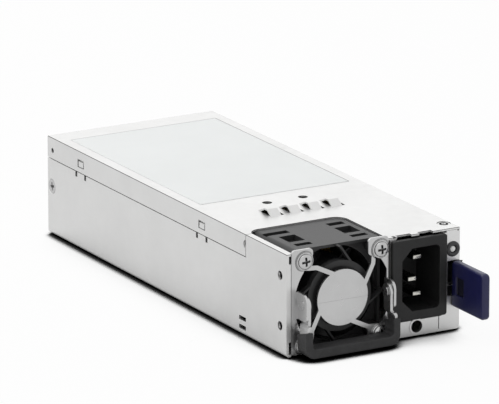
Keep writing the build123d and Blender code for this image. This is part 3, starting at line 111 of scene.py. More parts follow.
# Finishes: what each one has unless its own look says otherwise, and the sockets that take a number
plainLook = {
    "metallic": 0.0, "specular": 0.5, "coat": 0.0, "coatRoughness": 0.1, "ior": 1.45,
    "stretch": (1, 1, 1), "toneScale": 60, "roughScale": 140, "bump": None, "bumpDistance": 0.0002,
    "paintedShades": {}, "paintedShadeFades": (), "paintedShadeLines": (),
    "toneDetail": 4, "roughDetail": 5, "bumpDetail": 3, "cloudRoughness": 0.6, "cloudRange": (0.3, 0.7),
}
shaderSockets = {
    "Metallic": "metallic", "Specular IOR Level": "specular", "IOR": "ior",
    "Coat Weight": "coat", "Coat Roughness": "coatRoughness",
}


def finish(name, ownLook):
    # one procedural material: two tones mixed by noise, marks of painted shade in another colour over them,
    # a roughness range by noise and a fine bump
    look = {**plainLook, **ownLook}
    material = bpy.data.materials.new(name)
    tree = emptied(material)
    add, link = tree.nodes.new, tree.links.new
    shader = add("ShaderNodeBsdfPrincipled")
    link(shader.outputs["BSDF"], add("ShaderNodeOutputMaterial").inputs["Surface"])
    for socket, key in shaderSockets.items():
        shader.inputs[socket].default_value = look[key]
    place = add("ShaderNodeTexCoord").outputs["Object"]
    stretch = add("ShaderNodeMapping")
    stretch.inputs["Scale"].default_value = look["stretch"]
    link(place, stretch.inputs["Vector"])

    def noise(scale, detail):
        cloud = add("ShaderNodeTexNoise")
        cloud.inputs["Scale"].default_value = scale
        cloud.inputs["Detail"].default_value = detail
        cloud.inputs["Roughness"].default_value = look["cloudRoughness"]
        link(stretch.outputs["Vector"], cloud.inputs["Vector"])
        return cloud.outputs["Fac"]

    def placeAlong(axis):
        split = add("ShaderNodeSeparateXYZ")
        link(place, split.inputs["Vector"])
        return split.outputs[axis]

    def marked(colour, share, other):
        # the colour with another one over it by a share
        over = add("ShaderNodeMix")
        over.data_type = "RGBA"
        over.inputs["B"].default_value = (*other, 1)
        link(share, over.inputs["Factor"])
        link(colour, over.inputs["A"])
        return over.outputs["Result"]

    tones = add("ShaderNodeValToRGB")
    for stop, position, tone in zip(tones.color_ramp.elements, look["cloudRange"], look["tones"]):
        stop.position = position
        stop.color = (*tone, 1)
    link(noise(look["toneScale"], look["toneDetail"]), tones.inputs["Fac"])
    colour = tones.outputs["Color"]
    for attribute, other in look["paintedShades"].items():
        # painted shade where the piece's own attribute says so, such as the cross of a screw
        mark = add("ShaderNodeAttribute")
        mark.attribute_name = attribute
        colour = marked(colour, mark.outputs["Fac"], other)
    for axis, start, end, other in look["paintedShadeFades"]:
        # painted shade that comes in between two places along an axis
        colour = marked(colour, ranged(tree, placeAlong(axis), (start, end)), other)
    for axis, centre, half, other in look["paintedShadeLines"]:
        # a thin soft line of painted shade across an axis
        away = combined(tree, "SUBTRACT", placeAlong(axis), centre)
        distance = combined(tree, "ABSOLUTE", away, 0.0)
        colour = marked(colour, ranged(tree, distance, (half, half / 2)), other)
    link(colour, shader.inputs["Base Color"])
    polish = noise(look["roughScale"], look["roughDetail"])
    link(ranged(tree, polish, look["cloudRange"], look["roughness"]), shader.inputs["Roughness"])
    if look["bump"]:
        scale, strength = look["bump"]
        relief = add("ShaderNodeBump")
        relief.inputs["Strength"].default_value = strength
        relief.inputs["Distance"].default_value = look["bumpDistance"]
        link(noise(scale, look["bumpDetail"]), relief.inputs["Height"])
        link(relief.outputs["Normal"], shader.inputs["Normal"])
    return material


looks = {
    # the case and its front
    "case_steel": {
        "tones": ((0.66, 0.66, 0.655), (0.70, 0.70, 0.695)), "toneScale": 45, "metallic": 0.9,
        "roughness": (0.34, 0.42), "roughScale": 260, "bump": (900, 0.04),
        # painted shade: a thin dark line along the cover's top fold, where the bend's rounding shows darker
        "paintedShadeLines": (("Z", 0.03883, 0.00012, (0.04, 0.04, 0.04)),),
    },
    "guard_steel": {
        "tones": ((0.50, 0.50, 0.50), (0.54, 0.54, 0.54)), "toneScale": 90, "metallic": 0.95,
        "roughness": (0.26, 0.36), "roughScale": 400, "bump": (1200, 0.05),
    },
    "screw_steel": {
        "tones": ((0.46, 0.46, 0.46), (0.56, 0.56, 0.56)), "toneScale": 300, "metallic": 1.0,
        "roughness": (0.22, 0.34), "roughScale": 700, "bump": (1500, 0.06),
        # painted shade in the screws' pressed crosses
        "paintedShades": {"depth": (0.10, 0.10, 0.10)},
    },
    "rotor_plastic": {
        "tones": ((0.010, 0.010, 0.011), (0.018, 0.018, 0.019)), "toneScale": 200,
        "roughness": (0.38, 0.5), "roughScale": 500, "bump": (1500, 0.08),
    },
    "fan_plastic": {
        "tones": ((0.034, 0.034, 0.0345), (0.040, 0.040, 0.0406)), "toneScale": 900, "specular": 0.3,
        "roughness": (0.38, 0.42), "roughScale": 1500, "bump": (3500, 0.08),
    },
    "grip_plastic": {
        "tones": ((0.027, 0.027, 0.0277), (0.038, 0.038, 0.039)), "toneScale": 300, "specular": 0.35,
        "roughness": (0.45, 0.6), "roughScale": 900, "bump": (3000, 0.25),
    },
    "inlet_plastic": {
        "tones": ((0.013, 0.013, 0.013), (0.020, 0.020, 0.020)), "toneScale": 120, "specular": 0.35,
        "roughness": (0.4, 0.52), "roughScale": 800, "bump": (2600, 0.15),
    },
    "tab_plastic": {
        "tones": ((0.009, 0.010, 0.060), (0.012, 0.013, 0.075)), "toneScale": 300,
        "roughness": (0.32, 0.42), "roughScale": 500, "bump": (1800, 0.1),
        # painted shade on the floor of the tab's recess
        "paintedShades": {"recess": (0.0025, 0.0025, 0.014)},
    },
    "light_plastic": {
        "tones": ((0.86, 0.87, 0.85), (0.92, 0.93, 0.91)), "toneScale": 300,
        "roughness": (0.12, 0.2), "coat": 0.5,
    },
    "ring_plastic": {
        "tones": ((0.030, 0.030, 0.031), (0.042, 0.042, 0.0435)), "toneScale": 300,
        "roughness": (0.35, 0.48), "bump": (2500, 0.1),
    },
    "label_film": {
        "tones": ((0.865, 0.885, 0.88), (0.89, 0.91, 0.905)), "toneScale": 30, "specular": 0.3,
        # painted shade along the label's far and right edges, where its edge steps down to the cover
        "paintedShadeFades": (("X", 0.0316, 0.0317, (0.3, 0.3, 0.3)), ("Y", 0.0817, 0.0819, (0.3, 0.3, 0.3))),
        "roughness": (0.46, 0.54), "bump": (500, 0.05),
    },
    "pin_metal": {
        "tones": ((0.58, 0.57, 0.52), (0.68, 0.67, 0.62)), "toneScale": 300, "metallic": 1.0,
        "roughness": (0.2, 0.32), "bump": (1500, 0.05),
        # painted shade on the pins behind their tip faces, deep in the socket
        "paintedShades": {"depth": (0.05, 0.05, 0.045)},
    },
    # inside the case
    "contact_gold": {
        "tones": ((0.78, 0.55, 0.20), (0.88, 0.66, 0.28)), "toneScale": 200, "metallic": 1.0,
        "roughness": (0.2, 0.3),
    },
    "spring_steel": {
        "tones": ((0.35, 0.35, 0.36), (0.5, 0.5, 0.5)), "toneScale": 300, "metallic": 1.0,
        "roughness": (0.25, 0.35),
    },
    "board_green": {
        "tones": ((0.012, 0.085, 0.035), (0.018, 0.11, 0.048)), "toneScale": 120,
        "roughness": (0.3, 0.42), "coat": 0.3, "bump": (1200, 0.08),
    },
    "chip_black": {
        "tones": ((0.012, 0.012, 0.012), (0.022, 0.022, 0.022)), "toneScale": 200,
        "roughness": (0.5, 0.62), "bump": (2500, 0.15),
    },
    "can_sleeve": {
        "tones": ((0.014, 0.015, 0.022), (0.02, 0.022, 0.032)), "toneScale": 100,
        "roughness": (0.22, 0.3), "coat": 0.3,
    },
    "film_box": {
        "tones": ((0.60, 0.42, 0.05), (0.68, 0.48, 0.07)), "toneScale": 120,
        "roughness": (0.35, 0.45), "bump": (1500, 0.08),
    },
    "disc_blue": {
        "tones": ((0.02, 0.07, 0.28), (0.03, 0.10, 0.36)), "toneScale": 200,
        "roughness": (0.2, 0.3), "coat": 0.3,
    },
    "fuse_ceramic": {
        "tones": ((0.72, 0.70, 0.64), (0.80, 0.78, 0.72)), "toneScale": 200,
        "roughness": (0.3, 0.4),
    },
    "ferrite": {
        "tones": ((0.030, 0.030, 0.033), (0.045, 0.045, 0.048)), "toneScale": 400,
        "roughness": (0.5, 0.65), "bump": (1800, 0.2),
    },
    "copper": {
        "tones": ((0.50, 0.17, 0.06), (0.62, 0.24, 0.09)), "toneScale": 200, "metallic": 0.9,
        "roughness": (0.22, 0.32), "coat": 0.3,
    },
    "tape_yellow": {
        "tones": ((0.66, 0.50, 0.06), (0.74, 0.57, 0.09)), "toneScale": 120,
        "roughness": (0.25, 0.35),
    },
    "bobbin_plastic": {
        "tones": ((0.02, 0.02, 0.02), (0.03, 0.03, 0.03)), "toneScale": 120,
        "roughness": (0.4, 0.5), "bump": (2000, 0.1),
    },
    "sink_aluminium": {
        "tones": ((0.58, 0.59, 0.60), (0.68, 0.69, 0.70)), "toneScale": 100, "metallic": 1.0,
        "roughness": (0.32, 0.42), "stretch": (1, 0.1, 1), "bump": (900, 0.08),
    },
    "relay_case": {
        "tones": ((0.03, 0.09, 0.24), (0.04, 0.12, 0.3)), "toneScale": 120,
        "roughness": (0.3, 0.4),
    },
    "insulator": {
        "tones": ((0.72, 0.70, 0.60), (0.80, 0.78, 0.68)), "toneScale": 200,
        "roughness": (0.55, 0.7), "bump": (1500, 0.1),
    },
    "wire_sleeve": {
        "tones": ((0.018, 0.018, 0.018), (0.028, 0.028, 0.028)), "toneScale": 200,
        "roughness": (0.35, 0.45),
    },
    "header_plastic": {
        "tones": ((0.72, 0.70, 0.64), (0.80, 0.78, 0.72)), "toneScale": 200,
        "roughness": (0.35, 0.45),
    },
    "magnet": {
        "tones": ((0.02, 0.02, 0.02), (0.03, 0.03, 0.03)), "toneScale": 200,
        "roughness": (0.55, 0.65),
    },
    "bearing_steel": {
        "tones": ((0.55, 0.55, 0.56), (0.65, 0.65, 0.66)), "toneScale": 200, "metallic": 1.0,
        "roughness": (0.1, 0.2),
    },
}
finishes = {slot: finish(slot, look) for slot, look in looks.items()}
for name, node in nodes.items():
    node.data.materials.clear()
    node.data.materials.append(finishes[slotOf[name]])
print("finishes:", len(finishes))


def finished(name, mesh, node):
    # a mesh as a piece that stands for a CAD node, with its finish and on its body
    mesh.name = name
    mesh.polygons.foreach_set("use_smooth", np.ones(len(mesh.polygons), bool))
    piece = bpy.data.objects.new(name, mesh)
    bpy.context.scene.collection.objects.link(piece)
    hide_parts(node)
    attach(piece, bodyOf[node])
    mesh.materials.clear()
    mesh.materials.append(finishes[slotOf[node]])
    return piece


# CAD pieces with softened edges: doubles in metres, flat and smallest rounded angle in degrees
softening = {
    "doubles": 2e-6, "flat": 1.5, "segments": 2, "normalWeight": 80,
    # bevel width in millimetres and smallest angle that is rounded
    "edges": {
        "chassis_tray": (0.12, 32), "top_cover": (0.06, 18), "fan_guard": (0.15, 32),
        "fan_frame": (0.12, 32), "handle_grip": (0.35, 32), "handle_bail": (0.12, 32),
        "inlet_housing": (0.15, 32), "latch_tab": (0.25, 32),
    },
}


def softened(node, width, angle):
    # copy of a CAD node: doubles merged, flat triangles joined, its edges rounded by a small bevel
    mesh = nodes[node].data.copy()
    shape = bmesh.new()
    shape.from_mesh(mesh)
    flat = math.radians(softening["flat"])
    bmesh.ops.remove_doubles(shape, verts=shape.verts, dist=softening["doubles"])
    bmesh.ops.dissolve_limit(shape, angle_limit=flat, verts=shape.verts, edges=shape.edges)
    shape.to_mesh(mesh)
    shape.free()
    piece = finished(node + "Soft", mesh, node)
    rounding = piece.modifiers.new("edges", "BEVEL")
    rounding.width = width * mm
    rounding.segments = softening["segments"]
    rounding.limit_method = "ANGLE"
    rounding.angle_limit = math.radians(angle)
    rounding.use_clamp_overlap = True
    rounding.miter_outer = "MITER_ARC"
    weigh = piece.modifiers.new("normals", "WEIGHTED_NORMAL")
    weigh.keep_sharp = True
    weigh.weight = softening["normalWeight"]
    return piece


soft = {node: softened(node, *edge) for node, edge in softening["edges"].items()}

# painted shade: the tab's shallow recess is darkened; its floor lies inside the left face, away from the
# tab's outline
tabRecess = {"fromLeft": (0.5, 0.9), "fromEnds": 2.5, "fromRear": 2.0}
tabMesh = soft["latch_tab"].data
places = np.empty(len(tabMesh.vertices) * 3, np.float32)
tabMesh.vertices.foreach_get("co", places)
x, y, z = places.reshape(-1, 3).T / mm
low, high = (np.asarray(corner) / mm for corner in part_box("latch_tab"))
nearest, farthest = tabRecess["fromLeft"]
recess = (x > low[0] + nearest) & (x < low[0] + farthest) & (y < high[1] - tabRecess["fromRear"])
recess &= (z > low[2] + tabRecess["fromEnds"]) & (z < high[2] - tabRecess["fromEnds"])
recessShadeMark = tabMesh.attributes.new("recess", "FLOAT", "POINT")
recessShadeMark.data.foreach_set("value", recess.astype(np.float32))
print("softened:", len(soft))


# Surfaces worked out on grids; points nearer than this, in metres, are one
samePlace = 2e-7


def gridFaces(rows, columns, roundRows):
    # quads between neighbouring points of a grid; its columns go round, and its rows where they are told to
    row, column = np.meshgrid(np.arange(rows if roundRows else rows - 1), np.arange(columns), indexing="ij")
    nextRow, nextColumn = (row + 1) % rows, (column + 1) % columns
    return np.stack([row * columns + column, row * columns + nextColumn,
                     nextRow * columns + nextColumn, nextRow * columns + column], -1).reshape(-1, 4)


def surfaced(name, grids, node, sharp=35):
    # grids of points as one mesh: doubles and poles merged, faces turned outwards, sharp edges marked
    sizes = [grid["points"].shape[:2] for grid in grids]
    points = np.concatenate([grid["points"].reshape(-1, 3) for grid in grids])
    depth = np.concatenate([grid.get("depth", np.zeros(size)).ravel() for grid, size in zip(grids, sizes)])
    starts = np.cumsum([0] + [rows * columns for rows, columns in sizes[:-1]])
    faces = np.concatenate([
        start + gridFaces(*size, grid.get("roundRows", False))
        for start, size, grid in zip(starts, sizes, grids)
    ])
    mesh = bpy.data.meshes.new(name)
    mesh.from_pydata((points * mm).tolist(), [], faces.tolist())
    # the depth attribute marks where the finish paints shade, such as a screw's cross or a pin's hidden
    # body
    mesh.attributes.new("depth", "FLOAT", "POINT").data.foreach_set("value", depth.astype(np.float32))
    shape = bmesh.new()
    shape.from_mesh(mesh)
    bmesh.ops.remove_doubles(shape, verts=shape.verts, dist=samePlace)
    bmesh.ops.recalc_face_normals(shape, faces=shape.faces)
    shape.to_mesh(mesh)
    shape.free()
    finished(name, mesh, node)
    mesh.set_sharp_from_angle(angle=math.radians(sharp))


def axisFrame(along):
    # unit vectors along an axis and across it
    along = np.asarray(along, float)
    helper = (0, 0, 1) if abs(along[2]) < 0.5 else (0, 1, 0)
    side = np.cross(helper, along)
    side /= np.linalg.norm(side)
    return along, side, np.cross(along, side)


def turned(profile, start, along, steps, closed=False):
    # profile rows (radius, distance) turned about a line:
    # point = start + distance * along + radius * (cos(angle) * side + sin(angle) * up)
    profile = np.asarray(profile, float)
    radius, distance = profile[:, 0, None, None], profile[:, 1, None, None]
    along, side, up = axisFrame(along)
    angle = np.linspace(0, 2 * np.pi, steps, endpoint=False)
    ringWay = np.cos(angle)[:, None] * side + np.sin(angle)[:, None] * up
    return {"points": np.asarray(start) + distance * along + radius * ringWay, "roundRows": closed}


# What the screws share: crown's share of the radius, rim's first angle and rings, inner share of the seat,
# length and share of the point, edge of a sunk head, and how much shallower the cross gets towards its ends
screwShape = {"crown": 0.9, "rimFrom": 20, "rimRings": 5, "seat": 0.8, "point": (0.5, 0.6), "edge": 0.1,
              "crossRise": 0.4}


def screw(seat, along, ownLook, turn):
    # head with a crown that falls as 1 - drop * (r / R)^3 and a cross pressed into it, on a plain shank:
    # pressed depth = deepest * max(bar(u, v), bar(v, u)), a bar being two soft steps across and along
    look = {**screwShape, **ownLook}
    radius, height, shank, length = (look[key] for key in ("radius", "height", "shank", "length"))
    pointLength, pointShare = look["point"]
    crown = np.linspace(0, look["crown"], look["rings"])
    dome = np.stack([radius * crown, -height * (1 - look["drop"] * crown ** 3)], 1)
    rimTop = dome[-1, 1]
    bend = np.radians(np.linspace(look["rimFrom"], 90, look["rimRings"]))
    rim = np.stack([radius * (look["crown"] + (1 - look["crown"]) * np.sin(bend)),
                    rimTop * (1 - look["rim"] * (1 - np.cos(bend)))], 1)
    rest = [(radius, 0), (radius * look["seat"], 0), (shank, 0), (shank, length - pointLength),
            (shank * pointShare, length), (0, length)]
    if look.get("sunk"):
        rest[0:3] = [(radius, rimTop + look["edge"]), (shank, radius - shank + rimTop)]
    if look.get("washer"):
        # the head stands in a narrow groove of its own wider flange, whose edge is rounded
        wide, thick, groove, edge = (look["washer"][key] for key in ("radius", "thick", "groove", "edge"))
        rest[0:2] = [*np.add(groove, (radius, -thick)), *np.add(edge, (wide, -thick)),
                     (wide, 0), (wide * look["seat"], 0)]
    profile = np.concatenate([dome, rim, rest])
    grid = turned(profile, seat, along, look["steps"])
    angle = np.linspace(0, 2 * np.pi, look["steps"], endpoint=False) + turn
    u, v = profile[:, 0, None] * np.cos(angle), profile[:, 0, None] * np.sin(angle)

    def bar(a, b):
        across = np.clip((look["armHalf"] - np.abs(b)) / look["soft"] + 0.5, 0, 1)
        ends = np.clip((look["armReach"] - np.abs(a)) / (2 * look["soft"]) + 0.5, 0, 1)
        return across * ends

    pressed = np.maximum(bar(u, v), bar(v, u))
    pressed[len(crown):] = 0
    slope = 1 - look["crossRise"] * np.hypot(u, v) / look["armReach"]
    sunk = (look["deepest"] * pressed * slope)[..., None] * np.asarray(along, float)
    # the pressed cross also goes out as depth, where the finish paints shade
    return {"points": grid["points"] + sunk, "depth": pressed}


guardScrew = {
    "radius": 2.85, "height": 1.65, "shank": 1.45, "length": 7.9, "drop": 0.3, "rim": 0.5,
    "rings": 40, "steps": 128, "armHalf": 0.36, "armReach": 1.65, "soft": 0.14, "deepest": 1.1,
    # groove from the head's radius and edge from the flange's, both from the flange's top
    "washer": {"radius": 3.45, "thick": 0.8, "groove": ((0, 0.3), (0.14, 0.3), (0.2, 0)),
               "edge": ((-0.25, 0), (-0.07, 0.1), (0, 0.3))},
    "setback": 0.04, "offset": 16.0, "turns": (0.03, 0.08, -0.04, 0.06),
}
corners = [(sx, sz) for sx in (-1, 1) for sz in (-1, 1)]
screwX, _, screwZ = middle("guard_screws")
seatY = facePlace("guard_screws", 1, 0) + guardScrew["height"] + guardScrew["setback"]
away = guardScrew["offset"]
surfaced("guardScrewHeads", [
    screw((screwX + sx * away, seatY, screwZ + sz * away), (0, 1, 0), guardScrew, turn)
    for (sx, sz), turn in zip(corners, guardScrew["turns"])
], "guard_screws")

sideScrew = {
    "radius": 2.75, "height": -0.06, "shank": 1.4, "length": 4.9, "drop": 0.0, "rim": 0.0,
    "rings": 32, "steps": 96, "armHalf": 0.4, "armReach": 1.55, "soft": 0.12, "deepest": 0.9,
    "sunk": True, "turn": 0.2,
}
_, sideY, sideZ = middle("side_screws")
sideSeats = [(facePlace("side_screws", 0, side), sideY, sideZ) for side in (0, 1)]
surfaced("sideScrewHeads", [
    screw(seat, along, sideScrew, sideScrew["turn"])
    for seat, along in zip(sideSeats, ((1, 0, 0), (-1, 0, 0)))
], "side_screws")

coverScrew = {
    "radius": 1.7, "height": 0.0, "shank": 0.9, "length": 2.6, "drop": 0.0, "rim": 0.0,
    "rings": 24, "steps": 64, "armHalf": 0.34, "armReach": 0.42, "soft": 0.1, "deepest": 0.5,
    "sink": 0.22, "turn": 0.4,
}
coverX, coverY, _ = middle("cover_screw")
coverSeat = (coverX, coverY, facePlace("cover_screw", 2, 1) - coverScrew["sink"])
surfaced("coverScrewHead", [screw(coverSeat, (0, 0, -1), coverScrew, coverScrew["turn"])], "cover_screw")
print("screws done")

# Status light: profiles of radius and distance, from a plane that lies a little behind the ring's front
statusLight = {
    "planeBehind": 0.8, "ringSteps": 72, "lensSteps": 48,
    "ring": ((1.4, 1.6), (1.4, -0.30), (1.5, -0.52), (1.70, -0.70), (2.00, -0.79), (2.33, -0.78),
             (2.64, -0.66), (2.85, -0.44), (2.93, -0.2), (2.93, -0.01), (2.28, 0.0), (2.28, 1.6)),
    "lens": ((0, -0.48), (0.4, -0.46), (0.75, -0.38), (1.0, -0.24), (1.15, -0.05), (1.2, 0.15),
             (1.2, 6.4), (0, 6.4)),
}
lightX, _, lightZ = middle("light_ring")
lightStart = (lightX, facePlace("light_ring", 1, 0) + statusLight["planeBehind"], lightZ)
lightRing = turned(statusLight["ring"], lightStart, (0, 1, 0), statusLight["ringSteps"], closed=True)
lightLens = turned(statusLight["lens"], lightStart, (0, 1, 0), statusLight["lensSteps"])
surfaced("lightRing", [lightRing], "light_ring")
surfaced("lightLens", [lightLens], "light_pipe", sharp=50)
print("status light done")


def pinShape(centre, tipY, backY, look):
    # section |x/a|^n + |z/b|^n = 1 carried along Y; the tip's section shrinks as a quarter ellipse
    halfX, halfZ = look["half"]
    angle = np.linspace(0, 2 * np.pi, look["steps"], endpoint=False)
    power = 2 / look["square"]
    x = np.sign(np.cos(angle)) * np.abs(np.cos(angle)) ** power * halfX
    z = np.sign(np.sin(angle)) * np.abs(np.sin(angle)) ** power * halfZ
    slope = np.linspace(0, 1, look["tipRings"])
    tip = tipY + look["tip"] * slope ** look["tipSpread"]
    y = np.concatenate([[tipY], tip, np.add(look["stations"], tipY), [backY, backY]])
    # a share just under 1 keeps the ellipse off its steepest end
    shrink = look["tipShrink"] * (1 - np.sqrt(1 - (1 - slope) ** 2 * look["ellipseShare"]))
    inset = np.concatenate([[halfZ], shrink, np.zeros(len(look["stations"]) + 1), [halfZ]])
    scale = np.clip(1 - inset[:, None] / look["half"], 0, 1)
    scale[[0, -1]] = 0
    size = (len(y), len(angle))
    # painted shade: behind the tip's flat face the pin is marked to be darkened, for the shade deep in the
    # socket
    depth = np.clip((y - tipY) / look["brightTo"], 0, 1)
    points = np.stack([centre[0] + x * scale[:, :1], np.broadcast_to(y[:, None], size),
                       centre[1] + z * scale[:, 1:]], -1)
    return {"points": points, "depth": np.broadcast_to(depth[:, None], size)}


inletPins = {
    "half": (1.98, 0.98), "square": 9, "steps": 48, "tip": 0.9, "tipRings": 9, "tipSpread": 1.4,
    "tipShrink": 0.5, "ellipseShare": 0.999, "stations": (2.2, 4.0), "brightTo": 0.03, "backInset": 0.1,
    # x and z from the middle of the three, and how far the tip stands back
    "pins": ((-2.0, 0.0, 0.05), (2.0, 7.0, 3.25), (2.0, -7.0, 3.25)),
}
pinX, _, pinZ = middle("inlet_pins")
pinFront, pinBack = (facePlace("inlet_pins", 1, side) for side in (0, 1))
surfaced("inletBlades", [
    pinShape((pinX + dx, pinZ + dz), pinFront + setback, pinBack - inletPins["backInset"], inletPins)
    for dx, dz, setback in inletPins["pins"]
], "inlet_pins", sharp=50)
print("pins done")


def blade(place, centre, look):
    # blade section a closed loop of camber and thickness, carried from hub to tip while its pitch falls:
    # point = centre + r * out + chord * (cos(pitch) * Y + sin(pitch) * tangent) + bulge across the chord
    loop = np.linspace(0, 2 * np.pi, look["steps"], endpoint=False)
    chord = -np.cos(loop) / 2 * look["chord"]
    share = chord / look["chord"] + 0.5
    thick = look["thick"] / 2 * np.sign(np.sin(loop)) * np.abs(np.sin(loop)) ** look["blunt"]
    bulge = look["camber"] * 4 * share * (1 - share) + thick
    span = np.concatenate([[0], np.linspace(0, 1, look["rings"]), [1]])[:, None]
    root = look["hub"] - look["rootInside"]
    radius = root + span * (look["tip"] - root)
    rootPitch, tipPitch = look["pitch"]
    pitch = np.radians(rootPitch + span * (tipPitch - rootPitch))
    size = np.concatenate([[0], np.ones(look["rings"]), [0]])[:, None]
    axial = size * (np.cos(pitch) * chord - np.sin(pitch) * bulge)
    around = size * (np.sin(pitch) * chord + np.cos(pitch) * bulge)
    turn = place + around / radius
    return {"points": np.stack([centre[0] + radius * np.cos(turn), centre[1] + axial,
                                centre[2] - radius * np.sin(turn)], -1)}


rotor = {
    "hub": 12.55, "tip": 17.25, "chord": 12.6, "thick": 0.95, "camber": 1.1, "pitch": (44, 32), "count": 7,
    "blunt": 0.6, "rootInside": 0.5, "steps": 40, "rings": 12, "hubSteps": 96, "setback": 0.05,
    # hub's profile: front edge, rear edge and inside from the hub's radius, dish from the axis;
    # distances from the front face, and for the rest from the rear face
    "frontEdge": ((-1.0, 0.0), (-0.3, 0.0), (0.0, 0.3)),
    "rearEdge": ((0.0, -1.2), (-0.35, -0.35), (-1.2, 0.0)),
    "dish": ((6.0, 0.0), (5.4, -0.4), (1.5, -0.4), (1.5, -1.9)),
    "inside": ((-3.0, -2.0), (-1.0, -2.6)),
}
rotorX, _, rotorZ = middle("fan_shaft")
rotorCentre = (rotorX, middle("fan_rotor")[1], rotorZ)
rotorFront = facePlace("fan_rotor", 1, 0) + rotor["setback"]
rotorDeep = facePlace("fan_rotor", 1, 1) - rotor["setback"] - rotorFront
hubProfile = np.concatenate([
    np.add(rotor["frontEdge"], (rotor["hub"], 0)), np.add(rotor["rearEdge"], (rotor["hub"], rotorDeep)),
    np.add(rotor["dish"], (0, rotorDeep)), np.add(rotor["inside"], (rotor["hub"], rotorDeep)),
])
rotorHub = turned(hubProfile, (rotorX, rotorFront, rotorZ), (0, 1, 0), rotor["hubSteps"], closed=True)
bladePlaces = 2 * np.pi * np.arange(rotor["count"]) / rotor["count"]
blades = [blade(place, rotorCentre, rotor) for place in bladePlaces]
surfaced("rotorWheel", [rotorHub, *blades], "fan_rotor", sharp=40)
print("rotor done")

# Stage: a pale floor that keeps the object's shadow from the lamps and has painted shadow from ambient
# occlusion near and under the object, pale surroundings, soft lamps
stage = {
    "floorHalf": 3.0, "floorGap": 0.00065, "tones": (0.12, 0.94), "toneShade": (0.2, 0.75), "reach": 0.045,
    "contactReach": 0.006, "contactShade": (0.60, 0.82), "contactTone": 0.02, "rays": 16,
    "cameraShare": 0.93, "cameraShade": (0.28, 0.60), "mirrorShare": 0.85, "mirrorShade": (0.3, 0.85),
    "white": 1.0, "fill": 0.58, "backdrop": 1.0,
}
half = stage["floorHalf"]
floorCorners = [(-half, -half, 0), (half, -half, 0), (half, half, 0), (-half, half, 0)]
floorMesh = bpy.data.meshes.new("floor")
floorMesh.from_pydata(floorCorners, [], [(0, 1, 2, 3)])
floor = bpy.data.objects.new("floor", floorMesh)
floor.location.z = cadBox[0][2] - stage["floorGap"]
bpy.context.scene.collection.objects.link(floor)


def rayKinds(tree):
    # two shares of 0 or 1: rays from the camera, and rays mirrored by or passed through the object
    path = tree.nodes.new("ShaderNodeLightPath")
    mirrored = combined(tree, "MAXIMUM", path.outputs["Is Glossy Ray"], path.outputs["Is Transmission Ray"])
    return path.outputs["Is Camera Ray"], mirrored


def blended(tree, share, first, second, output):
    # first and second shader mixed by a share, on the tree's output
    mix = tree.nodes.new("ShaderNodeMixShader")
    tree.links.new(share, mix.inputs[0])
    tree.links.new(first.outputs[0], mix.inputs[1])
    tree.links.new(second.outputs[0], mix.inputs[2])
    tree.links.new(mix.outputs[0], tree.nodes.new(output).inputs["Surface"])


def openness(tree, reach):
    # how much of the sky a floor point sees within a reach: 1 in the open, towards 0 under the object
    exposure = tree.nodes.new("ShaderNodeAmbientOcclusion")
    exposure.inputs["Distance"].default_value = reach
    exposure.samples = stage["rays"]
    return exposure.outputs["AO"]


def skyGlow(tree, strength):
    # plain white light of the world
    glow = tree.nodes.new("ShaderNodeBackground")
    glow.inputs["Color"].default_value = (1, 1, 1, 1)
    glow.inputs["Strength"].default_value = strength
    return glow


paper = bpy.data.materials.new("floorWhite")
tree = emptied(paper)
matte = tree.nodes.new("ShaderNodeBsdfDiffuse")
bright = tree.nodes.new("ShaderNodeEmission")
bright.inputs["Strength"].default_value = stage["white"]
# painted shadow: the floor's colour darkens by ambient occlusion, to near black at the contact line and
# grey in a wider band around the object
openSky = openness(tree, stage["reach"])
nearSky = openness(tree, stage["contactReach"])
paintedContactShadow = ranged(tree, nearSky, stage["contactShade"], (stage["contactTone"], 1))
tone = combined(tree, "MULTIPLY", paintedContactShadow, ranged(tree, openSky, stage["toneShade"], stage["tones"]))
tree.links.new(tone, matte.inputs["Color"])
fromCamera, mirrored = rayKinds(tree)
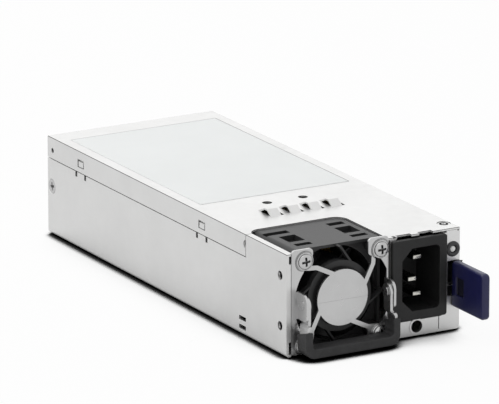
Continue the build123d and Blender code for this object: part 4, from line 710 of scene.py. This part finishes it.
# painted shadow also in the glow: the floor's white glow for camera and mirrored rays fades where ambient
# occlusion finds the floor covered
seenOpen = ranged(tree, openSky, stage["cameraShade"], (0, stage["cameraShare"]))
mirroredOpen = ranged(tree, openSky, stage["mirrorShade"], (0, stage["mirrorShare"]))
shareSeen = combined(tree, "MULTIPLY", fromCamera, combined(tree, "MULTIPLY", seenOpen, paintedContactShadow))
shareMirrored = combined(tree, "MULTIPLY", mirrored, mirroredOpen)
share = combined(tree, "ADD", shareSeen, shareMirrored)
blended(tree, share, matte, bright, "ShaderNodeOutputMaterial")
floorMesh.materials.append(paper)

world = bpy.data.worlds.new("studio")
bpy.context.scene.world = world
tree = emptied(world)
fill, backdrop = skyGlow(tree, stage["fill"]), skyGlow(tree, stage["backdrop"])
blended(tree, combined(tree, "MAXIMUM", *rayKinds(tree)), fill, backdrop, "ShaderNodeOutputWorld")

lamps = {
    "keyLamp": {"place": (-0.35, 0.3, 0.95), "aim": (0, 0, 0), "size": (0.9, 0.9), "power": 4.2},
    "rearSoftbox": {"place": (0.75, 1.3, 0.62), "aim": (0, 0, 0.03), "size": (1.7, 0.7), "power": 1.5},
}


def aimed(place, target):
    # rotation that points an object's -Z at the target, with its top up
    back = np.subtract(place, target)
    turn = math.atan2(back[0], -back[1])
    tilt = math.atan2(math.hypot(back[0], back[1]), back[2])
    return (tilt, 0, turn)


for name, lamp in lamps.items():
    data = bpy.data.lights.new(name, "AREA")
    data.shape = "RECTANGLE"
    data.size, data.size_y = lamp["size"]
    data.energy = lamp["power"]
    light = bpy.data.objects.new(name, data)
    light.location = lamp["place"]
    light.rotation_euler = aimed(lamp["place"], lamp["aim"])
    bpy.context.scene.collection.objects.link(light)

# Camera at the photo's angle: degrees, and focal length and width in the photo's pixels
photoView = {
    "place": (-1.052442, -1.84703, 0.649544), "azimuth": -29.688, "elevation": 16.242,
    "focal": 5863.335, "width": 499, "clip": (0.05, 30),
}
cameraData = bpy.data.cameras.new("photoCamera")
cameraData.sensor_fit = "HORIZONTAL"
cameraData.angle = 2 * math.atan(photoView["width"] / 2 / photoView["focal"])
cameraData.clip_start, cameraData.clip_end = photoView["clip"]
camera = bpy.data.objects.new("photoCamera", cameraData)
camera.location = photoView["place"]
camera.rotation_euler = (math.radians(90 - photoView["elevation"]), 0, math.radians(photoView["azimuth"]))
bpy.context.scene.collection.objects.link(camera)
bpy.context.scene.camera = camera
bpy.context.scene.view_settings.view_transform = "Standard"
print("stage set")
